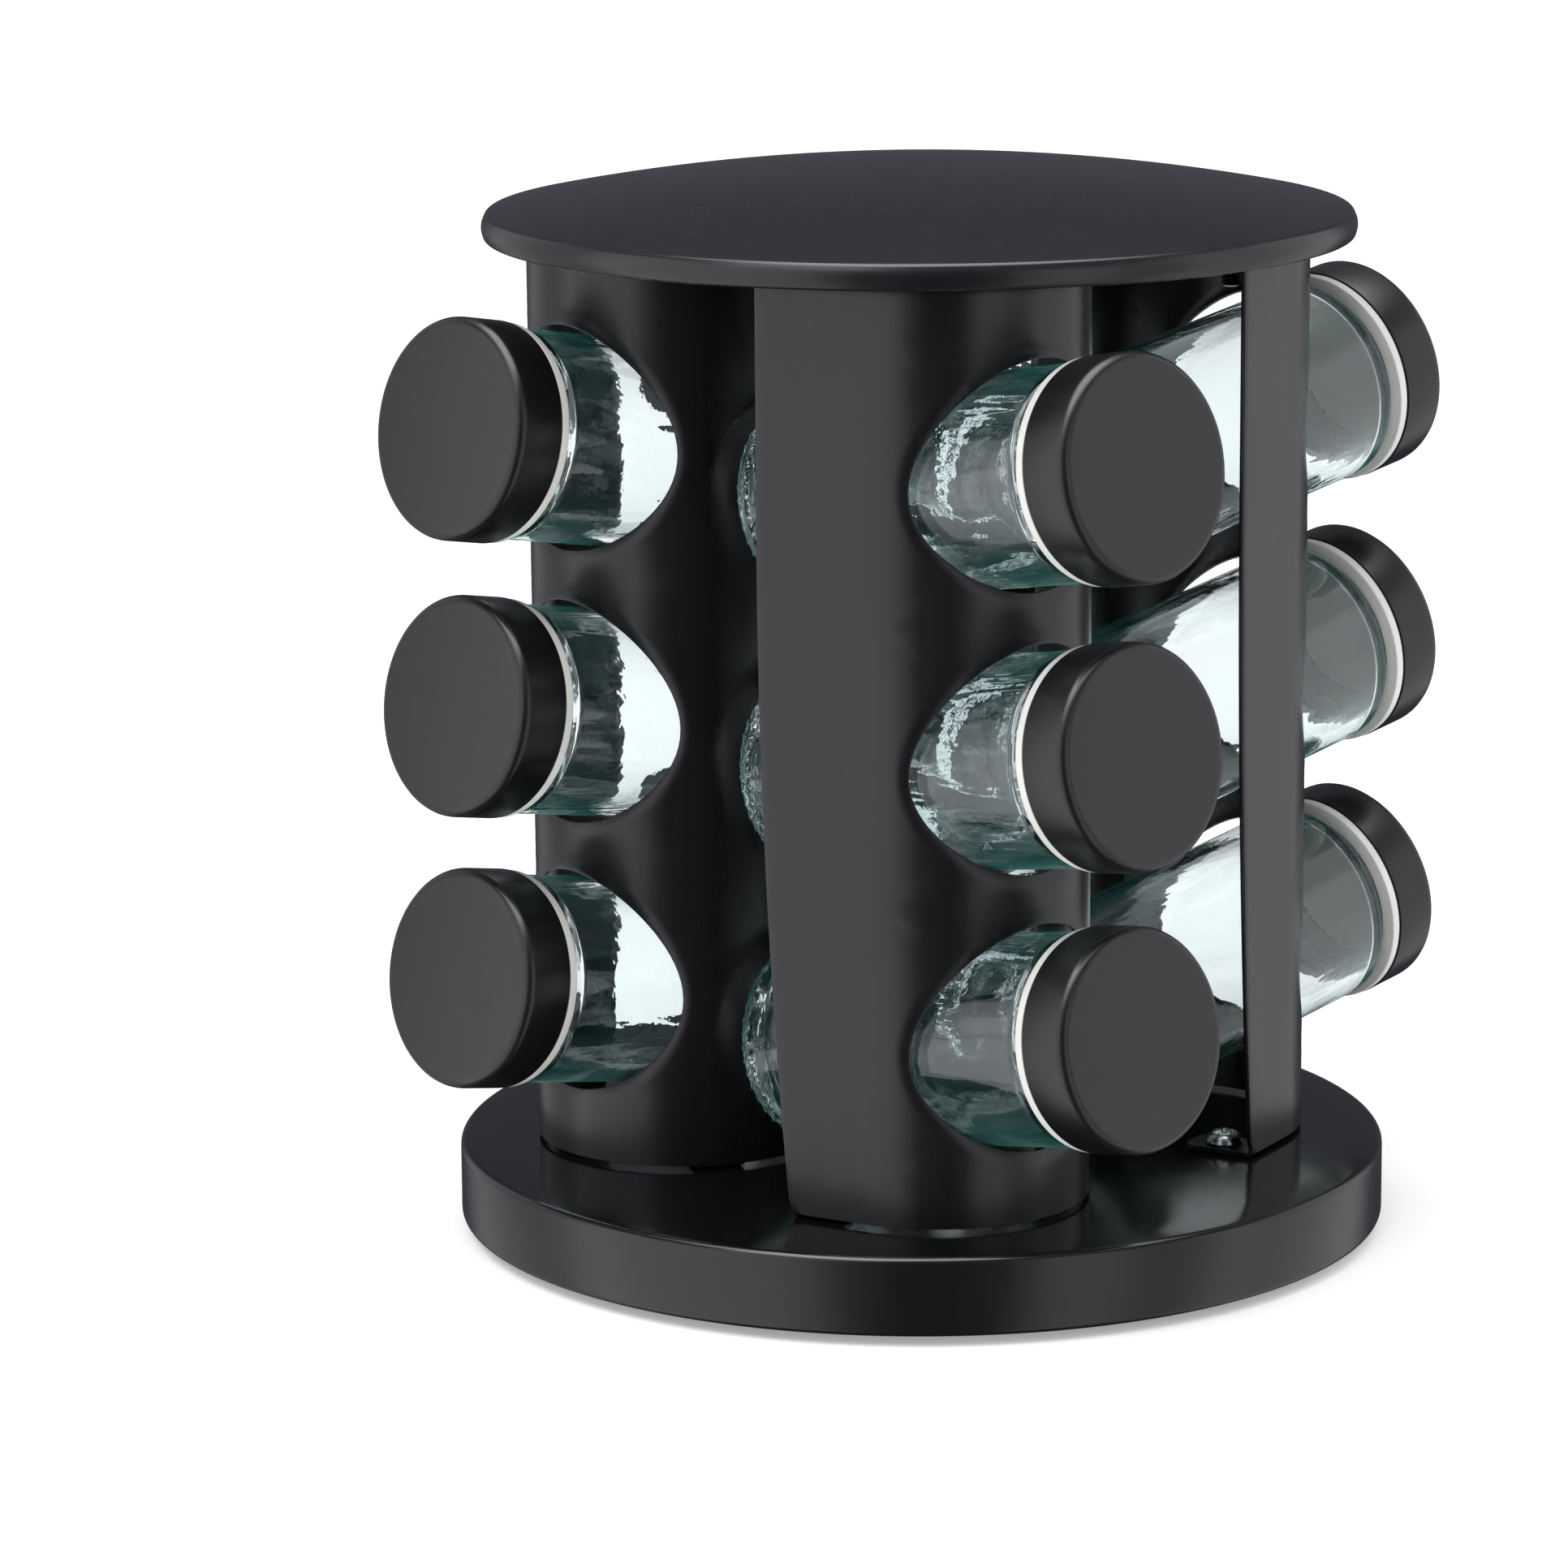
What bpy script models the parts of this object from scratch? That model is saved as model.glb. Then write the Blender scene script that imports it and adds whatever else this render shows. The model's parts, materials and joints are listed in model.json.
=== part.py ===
"""Rotating spice rack: four curved steel panels and twelve jars on a round base that turns on balls.

Frame: metres, +Z up, origin on the axis of rotation at the level of the table, the front is -Y.
The four columns are alike and stand a quarter turn apart, as a pinwheel: each jar lies on a line that
passes beside the axis, slopes down inwards, enters a hole in the round side of its own panel, and rests
its base on the back of the next panel.
"""

import math

import bmesh
import bpy
from mathutils import Matrix, Vector

OBJECT_NAME = "spice_carousel"
GAP = 0.0003  # between pieces that touch
COLUMNS = 4
LEVELS = 3

# Jar layout
JAR_AZIMUTH = math.radians(44.0)  # of the front column, from -Y towards +X
JAR_TILT = math.radians(10.2)  # cap end up
JAR_OFFSET = 0.0335  # from the axis of rotation to the line of a jar
JAR_BASE_ALONG = 0.0030  # from the point nearest the axis to the base of the jar
JAR_FLOOR_GAP = 0.0040  # lowest jar above the base
HOLE_WEB = 0.0102  # metal left between two holes of a panel
TOP_GAP = 0.0106  # highest cap below the top plate

# Glass jar
JAR_RADIUS = 0.0209
JAR_WALL = 0.0024
JAR_FLOOR = 0.0060
JAR_HEEL = 0.0030
JAR_BODY_LENGTH = 0.0770  # base to the start of the shoulder
SHOULDER_LENGTH = 0.0042
NECK_RADIUS = 0.0182
NECK_WALL = 0.0025
NECK_LENGTH = 0.0107
JAR_SIDES = 16

# Cap: a plastic screw cap inside a metal shell
CAP_RADIUS = 0.0220
CAP_EDGE = 0.0020
SHELL_WALL = 0.0006
SHELL_DEPTH = 0.0109
LINER_TOP = 0.0015
LINER_FLANGE = 0.0018
LINER_SETBACK = 0.0004  # flange radius inside the shell radius

# Panels: rolled sheet with a flat flange on each side of the round part
SHEET = 0.0010
PANEL_RADIUS = 0.0300
PANEL_ALONG = 0.0374  # centre of the round part, along the jar line
SEAT_MARGIN = 0.0008  # jar base beyond the round part, taken up by the inner flange
OUTER_ARC_END = math.radians(241.7)
INNER_ARC_END = math.radians(395.0)
FREE_FLANGE = 0.0235
FOOT_CUTBACK = 0.0065  # the free edge curves in towards the foot
CUTBACK_HEIGHT = 0.1320
PANEL_LIFT = 0.0009  # between panel edges and the discs above and below
HOLE_CLEARANCE = 0.0013  # above and below the jar
HOLE_SIDE_CLEARANCE = 0.0025
HOLE_SHIFT = 0.0011  # hole beside the jar line, towards the middle of the round part
HOLE_SIDES = 24
ARC_STEPS = 12
PANEL_LEVELS = (0.0, 0.15, 0.35, 0.6, 1.0)  # shares of its height, closer together at the curved foot
SHARP_BEND = math.radians(35.0)

# Panel tabs and their fasteners
TAB_WIDTH = 0.0100
TAB_REACH = 0.0158
TAB_CORNER = 0.0030
ROUND = 0.5  # bevel profile that gives a round corner
SCREW_INSET = 0.0088
SCREW_ALONG = 0.0115  # from the start of the free flange
INNER_TAB_ANGLE = math.radians(376.0)
SCREW_RADIUS = 0.0020
SCREW_HEAD_RADIUS = 0.0038
SCREW_HEAD_HEIGHT = 0.0024
SCREW_LENGTH = 0.0060
SCREW_HEAD_STEPS = ((0.55, 0.88), (0.90, 0.50))  # shares of the head's radius and height
SCREW_SIDES = 12
STUD_LENGTH = 0.0085
STUD_TIP_RADIUS = 0.0012
NUT_FLATS = 0.0070
NUT_HEIGHT = 0.0032

DISC_SIDES = 40  # of the base pan and the top disc

# Base pan
BASE_RADIUS = 0.0950
BASE_TOP = 0.0180
BASE_EDGE = 0.0015  # radius of the rounded edge
RIM_CLEARANCE = 0.0020
RIM_CURL = 0.0015
PAN_WALL = 0.0010

# Top disc
TOP_RADIUS = 0.0880
DOME_RISE = 0.0090
CREASE_INSET = 0.0014
CREASE_RISE = 0.0051
RIM_LIFT = 0.0002  # rim above the underside of the top plate
DOME_WALL = 0.0010
DOME_STEPS = 3
TOP_PLATE = 0.0010
TOP_PLATE_INSET = 0.0050

# Ball-bearing turntable under the base
BALL_RADIUS = 0.0030
BALL_CIRCLE = 0.0400
BALL_COUNT = 12
RACE_SIDES = 24
RACE_SHEET = 0.0015
CHANNEL_DEPTH = 0.0012
CHANNEL_HALF_WIDTH = 0.0030
RACE_RADIUS = 0.0500
FOOT_PLATE_RADIUS = 0.0620
FOOT_PLATE_TOP = 0.0065
CAGE_SHEET = 0.0010
CAGE_HALF_WIDTH = 0.0052
RIVET_RADIUS = 0.0050
RIVET_HEAD = 0.0090
RIVET_HEAD_THICKNESS = 0.0009
FOOT_RADIUS = 0.0075
FOOT_CIRCLE = 0.0530
FOOT_CHAMFER = 0.0010
FEET = 4
FOOT_SIDES = 16
RIVET_SIDES = 16

# Finishes: colour, roughness, metallic, transmission
PANEL_PAINT = ((0.012, 0.012, 0.014), 0.38, 0.0, 0.0)
BASE_PAINT = ((0.010, 0.012, 0.018), 0.12, 0.0, 0.0)
DOME_PAINT = ((0.013, 0.013, 0.015), 0.34, 0.0, 0.0)
PLATE_PAINT = ((0.016, 0.016, 0.017), 0.40, 0.0, 0.0)
CAP_PAINT = ((0.014, 0.014, 0.015), 0.42, 0.0, 0.0)
CLEAR_GLASS = ((0.86, 0.95, 0.92), 0.02, 0.0, 1.0)
WHITE_PLASTIC = ((0.80, 0.80, 0.78), 0.35, 0.0, 0.0)
SCREW_STEEL = ((0.42, 0.45, 0.46), 0.25, 1.0, 0.0)
NUT_STEEL = ((0.30, 0.31, 0.32), 0.35, 1.0, 0.0)
ZINC = ((0.45, 0.46, 0.47), 0.36, 1.0, 0.0)
BALL_STEEL = ((0.60, 0.60, 0.62), 0.15, 1.0, 0.0)
RUBBER = ((0.03, 0.03, 0.03), 0.80, 0.0, 0.0)

# Worked-out places
JAR_LENGTH = JAR_BODY_LENGTH + SHOULDER_LENGTH + NECK_LENGTH
JAR_MOUTH = JAR_BASE_ALONG + JAR_LENGTH
CAP_FACE = JAR_MOUTH + GAP + LINER_TOP + GAP + SHELL_WALL
HOLE_HALF_HEIGHT = JAR_RADIUS + HOLE_CLEARANCE
HOLE_HALF_WIDTH = JAR_RADIUS + HOLE_SIDE_CLEARANCE
LEVEL_PITCH = 2 * HOLE_HALF_HEIGHT / math.cos(JAR_TILT) + HOLE_WEB
LOWEST_JAR = BASE_TOP + JAR_FLOOR_GAP + JAR_RADIUS / math.cos(JAR_TILT)
HIGHEST_JAR = LOWEST_JAR + (LEVELS - 1) * LEVEL_PITCH
CAP_TOP = HIGHEST_JAR + CAP_FACE * math.sin(JAR_TILT) + CAP_RADIUS * math.cos(JAR_TILT)
TOP_PLATE_BOTTOM = CAP_TOP + TOP_GAP
PANEL_BOTTOM = BASE_TOP + PANEL_LIFT
PANEL_TOP = TOP_PLATE_BOTTOM - PANEL_LIFT
OUTWARD = Vector((math.sin(JAR_AZIMUTH), -math.cos(JAR_AZIMUTH), 0))
SIDEWAYS = Vector((math.cos(JAR_AZIMUTH), math.sin(JAR_AZIMUTH), 0))
SEAT = (JAR_BASE_ALONG - (JAR_RADIUS - JAR_HEEL) * math.sin(JAR_TILT)) / math.cos(JAR_TILT) - GAP
ARC_CENTRE = OUTWARD * PANEL_ALONG - SIDEWAYS * (PANEL_RADIUS + SEAT_MARGIN - SEAT)


def new_collection(name):
    collection = bpy.data.collections.new(name)
    bpy.context.scene.collection.children.link(collection)
    return collection


def principled(name, finish):
    colour, roughness, metallic, transmission = finish
    material = bpy.data.materials.new(name)
    material.use_nodes = True
    shader = material.node_tree.nodes["Principled BSDF"]
    shader.inputs["Base Color"].default_value = (*colour, 1)
    shader.inputs["Roughness"].default_value = roughness
    shader.inputs["Metallic"].default_value = metallic
    shader.inputs["Transmission Weight"].default_value = transmission
    return material


def add_object(name, mesh, material, matrix=Matrix()):
    """A visible piece of the object, with its own material."""
    piece = bpy.data.objects.new(name, mesh)
    piece.matrix_world = matrix
    PIECES.objects.link(piece)
    piece.data.materials.clear()
    piece.data.materials.append(material)
    return piece


def add_cutter(name, bm, matrix=Matrix()):
    """A helper for Booleans, which is no piece of the object."""
    mesh = bpy.data.meshes.new(name)
    bm.to_mesh(mesh)
    bm.free()
    cutter = bpy.data.objects.new(name, mesh)
    cutter.matrix_world = matrix
    cutter.hide_render = True
    cutter.display_type = "WIRE"
    CUTTERS.objects.link(cutter)
    return cutter


def boolean(piece, operation, cutter):
    modifier = piece.modifiers.new(operation.lower(), "BOOLEAN")
    modifier.operation = operation
    modifier.object = cutter


def profile_mesh(name, points, closed=False):
    """A mesh of the (radius, height) points of a turned shape, joined in order."""
    mesh = bpy.data.meshes.new(name)
    edges = [(i, i + 1) for i in range(len(points) - 1)]
    if closed:
        edges.append((len(points) - 1, 0))
    mesh.from_pydata([(radius, 0, height) for radius, height in points], edges, [])
    return mesh


def turned(name, mesh, material, steps, matrix=Matrix()):
    """The profile turned round the local Z axis. Profiles run down their outer side."""
    piece = add_object(name, mesh, material, matrix)
    screw = piece.modifiers.new("turn", "SCREW")
    screw.steps = steps
    screw.render_steps = steps
    screw.use_merge_vertices = True
    screw.merge_threshold = 1e-6
    screw.use_smooth_shade = True
    return piece


def baked_mesh(piece):
    """The mesh of a piece with its modifiers applied, for copies that share it."""
    graph = bpy.context.evaluated_depsgraph_get()
    return bpy.data.meshes.new_from_object(piece.evaluated_get(graph))


def add_cylinder(bm, radius, low, high, sides, matrix=Matrix(), top_radius=None):
    """A closed cylinder or cone from low to high along the Z axis of the matrix."""
    place = matrix @ Matrix.Translation((0, 0, (low + high) / 2))
    bmesh.ops.create_cone(
        bm,
        cap_ends=True,
        segments=sides,
        radius1=radius,
        radius2=radius if top_radius is None else top_radius,
        depth=high - low,
        matrix=place,
    )


def quarter_turn(column):
    return Matrix.Rotation(math.tau * column / COLUMNS, 4, "Z")


def jar_matrix(column, level):
    """Local Z runs outwards along the jar line, from the point nearest the axis of rotation."""
    start = -SIDEWAYS * JAR_OFFSET + Vector((0, 0, LOWEST_JAR + level * LEVEL_PITCH))
    along = OUTWARD * math.cos(JAR_TILT) + Vector((0, 0, math.sin(JAR_TILT)))
    turn = Matrix((SIDEWAYS, along.cross(SIDEWAYS), along)).transposed().to_4x4()
    return quarter_turn(column) @ Matrix.Translation(start) @ turn


def facet_turn():
    """Half a facet, so that a corner lies where the cap reaches furthest from the rack."""
    return Matrix.Rotation(math.pi / JAR_SIDES, 4, "Z")


# Panels


def arc_point(angle, radius=PANEL_RADIUS):
    return ARC_CENTRE + Vector((math.cos(angle), math.sin(angle), 0)) * radius


def flange_frame(angle, turn):
    """Start, direction and inward normal of the flat that leaves the round part at this angle."""
    tangent = Vector((-math.sin(angle), math.cos(angle), 0)) * turn
    return arc_point(angle), tangent, Vector((-math.cos(angle), -math.sin(angle), 0))


def inner_flange_length():
    """The inner flange ends where the next column's jar rests its base."""
    start, tangent, _ = flange_frame(INNER_ARC_END, 1)
    return (SEAT - start.dot(SIDEWAYS)) / tangent.dot(SIDEWAYS)


def panel_outline(height):
    """Plan of the outer face of the front panel, from its free edge to its inner edge."""
    shortfall = max(0, 1 - (height - PANEL_BOTTOM) / CUTBACK_HEIGHT) ** 2
    start, tangent, _ = flange_frame(OUTER_ARC_END, -1)
    points = [start + tangent * (FREE_FLANGE - FOOT_CUTBACK * shortfall)]
    for step in range(ARC_STEPS + 1):
        points.append(arc_point(OUTER_ARC_END + (INNER_ARC_END - OUTER_ARC_END) * step / ARC_STEPS))
    start, tangent, _ = flange_frame(INNER_ARC_END, 1)
    points.append(start + tangent * inner_flange_length())
    return points


def panel_sheet():
    """The rolled sheet as an open surface, its outer face."""
    bm = bmesh.new()
    rows = []
    for share in PANEL_LEVELS:
        height = PANEL_BOTTOM + (PANEL_TOP - PANEL_BOTTOM) * share
        rows.append([bm.verts.new((*point.xy, height)) for point in panel_outline(height)])
    for low, high in zip(rows, rows[1:]):
        for i in range(len(low) - 1):
            bm.faces.new((low[i], low[i + 1], high[i + 1], high[i]))
    mesh = bpy.data.meshes.new("panel")
    bm.to_mesh(mesh)
    bm.free()
    return mesh


def tab_frame(angle, along, turn):
    """Local X runs inwards from the outer face of the panel, local Z runs up."""
    start, tangent, inward = flange_frame(angle, turn)
    side = Vector((0, 0, 1)).cross(inward)
    frame = Matrix((inward, side, Vector((0, 0, 1)))).transposed().to_4x4()
    return Matrix.Translation(start + tangent * along) @ frame


def tab_frames():
    return (
        tab_frame(OUTER_ARC_END, SCREW_ALONG, -1),
        tab_frame(INNER_TAB_ANGLE, 0, 1),
    )


def add_tab(bm, frame, low):
    """One bent-in tab: a flat tongue with rounded corners that starts inside the sheet."""
    reach = TAB_REACH - SHEET / 2
    size = Matrix.Diagonal((reach, TAB_WIDTH, SHEET, 1))
    centre = Matrix.Translation((SHEET / 2 + reach / 2, 0, low + SHEET / 2))
    made = bmesh.ops.create_cube(bm, size=1, matrix=frame @ centre @ size)
    inverse = frame.inverted()
    far = {vert for vert in made["verts"] if (inverse @ vert.co).x > TAB_REACH - SHEET / 2}
    edges = []
    for edge in {edge for vert in far for edge in vert.link_edges}:
        start, end = (inverse @ vert.co for vert in edge.verts)
        if abs(start.z - end.z) > SHEET / 2:
            edges.append(edge)
    edges.sort(key=lambda edge: edge.index)
    bmesh.ops.bevel(bm, geom=edges, offset=TAB_CORNER, segments=2, affect="EDGES", profile=ROUND)


def front_panel_mesh():
    """The sheet with its four tabs, three jar holes and two screw holes."""
    sheet = bpy.data.objects.new("panel_sheet", panel_sheet())
    CUTTERS.objects.link(sheet)
    sheet.hide_render = True
    thicken = sheet.modifiers.new("thicken", "SOLIDIFY")
    thicken.thickness = SHEET
    thicken.offset = -1
    thicken.use_even_offset = True
    tabs = bmesh.new()
    holes = bmesh.new()
    for frame in tab_frames():
        add_tab(tabs, frame, BASE_TOP + GAP)
        add_tab(tabs, frame, TOP_PLATE_BOTTOM - GAP - SHEET)
    screw = tab_frames()[0] @ Matrix.Translation((SCREW_INSET, 0, 0))
    for middle in (BASE_TOP, TOP_PLATE_BOTTOM):
        low = middle - SCREW_LENGTH
        add_cylinder(holes, SCREW_RADIUS + GAP, low, middle + SCREW_LENGTH, SCREW_SIDES, screw)
    for level in range(LEVELS):
        hole = jar_matrix(0, level) @ Matrix.Translation((HOLE_SHIFT, 0, 0))
        hole = hole @ Matrix.Diagonal((HOLE_HALF_WIDTH, HOLE_HALF_HEIGHT, 1, 1))
        add_cylinder(holes, 1, PANEL_ALONG, PANEL_ALONG + 2 * PANEL_RADIUS, HOLE_SIDES, hole)
    boolean(sheet, "UNION", add_cutter("panel_tabs", tabs))
    boolean(sheet, "DIFFERENCE", add_cutter("panel_holes", holes))
    return baked_mesh(sheet)


def screw_place(column):
    frame = tab_frames()[0] @ Matrix.Translation((SCREW_INSET, 0, 0))
    return Matrix.Translation((quarter_turn(column) @ frame.translation).xy.to_3d())


def build_panels():
    mesh = front_panel_mesh()
    mesh.shade_smooth()
    mesh.set_sharp_from_angle(angle=SHARP_BEND)
    for column in range(COLUMNS):
        paint = principled(f"panel_{column + 1}_paint", PANEL_PAINT)
        add_object(f"panel_{column + 1}", mesh.copy(), paint, quarter_turn(column))


# Jars and caps


def glass_profile():
    """From the middle of the inner floor up the inside, over the mouth and down the outside."""
    base = JAR_BASE_ALONG
    floor = base + JAR_FLOOR
    shoulder = base + JAR_BODY_LENGTH
    neck = shoulder + SHOULDER_LENGTH
    bore = NECK_RADIUS - NECK_WALL
    inside = JAR_RADIUS - JAR_WALL
    return [
        (0, floor),
        (inside - JAR_HEEL, floor),
        (inside, floor + JAR_HEEL),
        (inside, shoulder - JAR_WALL / 2),
        (bore, neck),
        (bore, JAR_MOUTH),
        (NECK_RADIUS, JAR_MOUTH),
        (NECK_RADIUS, neck),
        (JAR_RADIUS, shoulder),
        (JAR_RADIUS, base + JAR_HEEL),
        (JAR_RADIUS - JAR_HEEL, base),
        (0, base),
    ]


def liner_profile():
    neck_clear = NECK_RADIUS + GAP
    flange = CAP_RADIUS - LINER_SETBACK
    inside_shell = CAP_RADIUS - SHELL_WALL - GAP
    top = CAP_FACE - SHELL_WALL - GAP
    flange_top = CAP_FACE - SHELL_DEPTH - GAP
    flange_low = flange_top - LINER_FLANGE
    return [
        (0, top),
        (inside_shell - CAP_EDGE, top),
        (inside_shell, top - CAP_EDGE),
        (inside_shell, flange_top),
        (flange, flange_top),
        (flange, flange_low),
        (neck_clear, flange_low),
        (neck_clear, top - LINER_TOP),
        (0, top - LINER_TOP),
    ]


def shell_profile():
    inside = CAP_RADIUS - SHELL_WALL
    open_end = CAP_FACE - SHELL_DEPTH
    round_off = CAP_EDGE * (1 - math.sqrt(0.5))
    return [
        (0, CAP_FACE),
        (CAP_RADIUS - CAP_EDGE, CAP_FACE),
        (CAP_RADIUS - round_off, CAP_FACE - round_off),
        (CAP_RADIUS, CAP_FACE - CAP_EDGE),
        (CAP_RADIUS, open_end),
        (inside, open_end),
        (inside, CAP_FACE - CAP_EDGE),
        (inside + SHELL_WALL - CAP_EDGE, CAP_FACE - SHELL_WALL),
        (0, CAP_FACE - SHELL_WALL),
    ]


def build_jars():
    glass = profile_mesh("jar_glass", glass_profile())
    liner = profile_mesh("cap_liner", liner_profile())
    shell = profile_mesh("cap_shell", shell_profile())
    for column in range(COLUMNS):
        for level in range(LEVELS):
            label = f"{column + 1}{'abc'[level]}"
            place = jar_matrix(column, level) @ facet_turn()
            clear = principled(f"glass_{label}", CLEAR_GLASS)
            white = principled(f"liner_{label}", WHITE_PLASTIC)
            black = principled(f"shell_{label}", CAP_PAINT)
            turned(f"jar_glass_{label}", glass.copy(), clear, JAR_SIDES, place)
            turned(f"cap_liner_{label}", liner.copy(), white, JAR_SIDES, place)
            turned(f"cap_shell_{label}", shell.copy(), black, JAR_SIDES, place)


# Base pan and its screws


def pan_profile():
    """An inverted pan with a rounded edge and a lip that curls in at the foot."""
    inner = BASE_RADIUS - PAN_WALL
    soffit = BASE_TOP - PAN_WALL
    round_off = BASE_EDGE * (1 - math.sqrt(0.5))
    return [
        (0, BASE_TOP),
        (BASE_RADIUS - BASE_EDGE, BASE_TOP),
        (BASE_RADIUS - round_off, BASE_TOP - round_off),
        (BASE_RADIUS, BASE_TOP - BASE_EDGE),
        (BASE_RADIUS, RIM_CLEARANCE + RIM_CURL),
        (BASE_RADIUS - RIM_CURL, RIM_CLEARANCE),
        (inner - RIM_CURL, RIM_CLEARANCE),
        (inner - RIM_CURL, RIM_CLEARANCE + PAN_WALL),
        (inner, RIM_CLEARANCE + RIM_CURL + PAN_WALL),
        (inner, soffit),
        (0, soffit),
    ]


def build_base_pan():
    paint = principled("base_paint", BASE_PAINT)
    pan = turned("base_pan", profile_mesh("base_pan", pan_profile()), paint, DISC_SIDES)
    holes = bmesh.new()
    low = BASE_TOP - SCREW_LENGTH
    high = BASE_TOP + SCREW_LENGTH
    for column in range(COLUMNS):
        add_cylinder(holes, SCREW_RADIUS + GAP, low, high, SCREW_SIDES, screw_place(column))
    boolean(pan, "DIFFERENCE", add_cutter("pan_holes", holes))


def base_screw_profile():
    """A domed head that rests on the tab and a shank that ends inside the pan."""
    seat = BASE_TOP + GAP + SHEET + GAP
    return [
        (0, seat + SCREW_HEAD_HEIGHT),
        *((SCREW_HEAD_RADIUS * out, seat + SCREW_HEAD_HEIGHT * up) for out, up in SCREW_HEAD_STEPS),
        (SCREW_HEAD_RADIUS, seat),
        (SCREW_RADIUS, seat),
        (SCREW_RADIUS, seat - SCREW_LENGTH + SCREW_RADIUS / 2),
        (SCREW_RADIUS / 2, seat - SCREW_LENGTH),
        (0, seat - SCREW_LENGTH),
    ]


def build_base_screws():
    mesh = profile_mesh("base_screw", base_screw_profile())
    for column in range(COLUMNS):
        steel = principled(f"screw_{column + 1}_steel", SCREW_STEEL)
        turned(f"base_screw_{column + 1}", mesh.copy(), steel, SCREW_SIDES, screw_place(column))


# Top disc: a spun dome, the plate that closes it and the nuts that hold the panels


def dome_profile():
    """A shallow dome that turns down into a rounded rim, whose edge turns in under the plate."""
    bottom = TOP_PLATE_BOTTOM + RIM_LIFT
    crease = bottom + CREASE_RISE
    edge = TOP_RADIUS - CREASE_INSET
    peak = crease + DOME_RISE
    sphere = (edge**2 + DOME_RISE**2) / (2 * DOME_RISE)
    outer = []
    inner = []
    for step in range(DOME_STEPS + 1):
        radius = edge * step / DOME_STEPS
        outer.append((radius, peak - sphere + math.sqrt(sphere**2 - radius**2)))
        inner.append((radius * (1 - DOME_WALL / edge), outer[-1][1] - DOME_WALL))
    rim = [
        (TOP_RADIUS - CREASE_INSET / 4, crease - CREASE_INSET),
        (TOP_RADIUS, bottom + CREASE_RISE / 2),
        (TOP_RADIUS - CREASE_INSET / 2, bottom + CREASE_INSET / 2),
        (TOP_RADIUS - CREASE_INSET * 1.5, bottom),
        (TOP_RADIUS - TOP_PLATE_INSET + GAP, bottom),
        (TOP_RADIUS - TOP_PLATE_INSET + GAP, bottom + DOME_WALL),
        (TOP_RADIUS - CREASE_INSET / 2 - DOME_WALL, bottom + DOME_WALL + CREASE_INSET / 4),
        (TOP_RADIUS - DOME_WALL, bottom + CREASE_RISE / 2),
    ]
    return outer + rim + inner[::-1]


def build_top_disc():
    paint = principled("dome_paint", DOME_PAINT)
    turned("top_dome", profile_mesh("top_dome", dome_profile()), paint, DISC_SIDES)
    plate_radius = TOP_RADIUS - TOP_PLATE_INSET
    plate_profile = [
        (0, TOP_PLATE_BOTTOM + TOP_PLATE),
        (plate_radius, TOP_PLATE_BOTTOM + TOP_PLATE),
        (plate_radius, TOP_PLATE_BOTTOM),
        (0, TOP_PLATE_BOTTOM),
    ]
    dark = principled("plate_paint", PLATE_PAINT)
    plate = turned("top_plate", profile_mesh("top_plate", plate_profile), dark, DISC_SIDES)
    studs = bmesh.new()
    low = TOP_PLATE_BOTTOM - STUD_LENGTH
    high = TOP_PLATE_BOTTOM + TOP_PLATE / 2
    for column in range(COLUMNS):
        place = screw_place(column)
        add_cylinder(studs, STUD_TIP_RADIUS, low, high, SCREW_SIDES, place, SCREW_RADIUS)
    boolean(plate, "UNION", add_cutter("plate_studs", studs))


def build_top_nuts():
    high = TOP_PLATE_BOTTOM - GAP - SHEET - GAP
    for column in range(COLUMNS):
        bm = bmesh.new()
        add_cylinder(bm, NUT_FLATS / math.sqrt(3), high - NUT_HEIGHT, high, 6)
        mesh = bpy.data.meshes.new("top_nut")
        bm.to_mesh(mesh)
        bm.free()
        place = screw_place(column)
        steel = principled(f"nut_{column + 1}_steel", NUT_STEEL)
        nut = add_object(f"top_nut_{column + 1}", mesh, steel, place)
        bore = bmesh.new()
        bottom = high - 2 * NUT_HEIGHT
        add_cylinder(bore, SCREW_RADIUS + GAP, bottom, high + NUT_HEIGHT, SCREW_SIDES, place)
        boolean(nut, "DIFFERENCE", add_cutter(f"nut_bore_{column + 1}", bore))


# Turntable: a race under the pan, a ring of balls, a foot plate on rubber feet and a rivet


def race_heights():
    """Top of the upper race, top of the ball channel below it and the middle of the balls."""
    race_top = BASE_TOP - PAN_WALL - GAP
    ball_middle = race_top - RACE_SHEET - GAP - BALL_RADIUS
    return race_top, ball_middle


def upper_race_profile():
    top, _ = race_heights()
    low = top - CHANNEL_DEPTH
    inner = BALL_CIRCLE - CHANNEL_HALF_WIDTH
    outer = BALL_CIRCLE + CHANNEL_HALF_WIDTH
    slope = CHANNEL_DEPTH / 2
    above = [
        (RIVET_RADIUS + GAP, low),
        (inner - slope, low),
        (inner, top),
        (outer, top),
        (outer + slope, low),
        (RACE_RADIUS, low),
    ]
    return above + [(radius, height - RACE_SHEET) for radius, height in above[::-1]]


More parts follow.
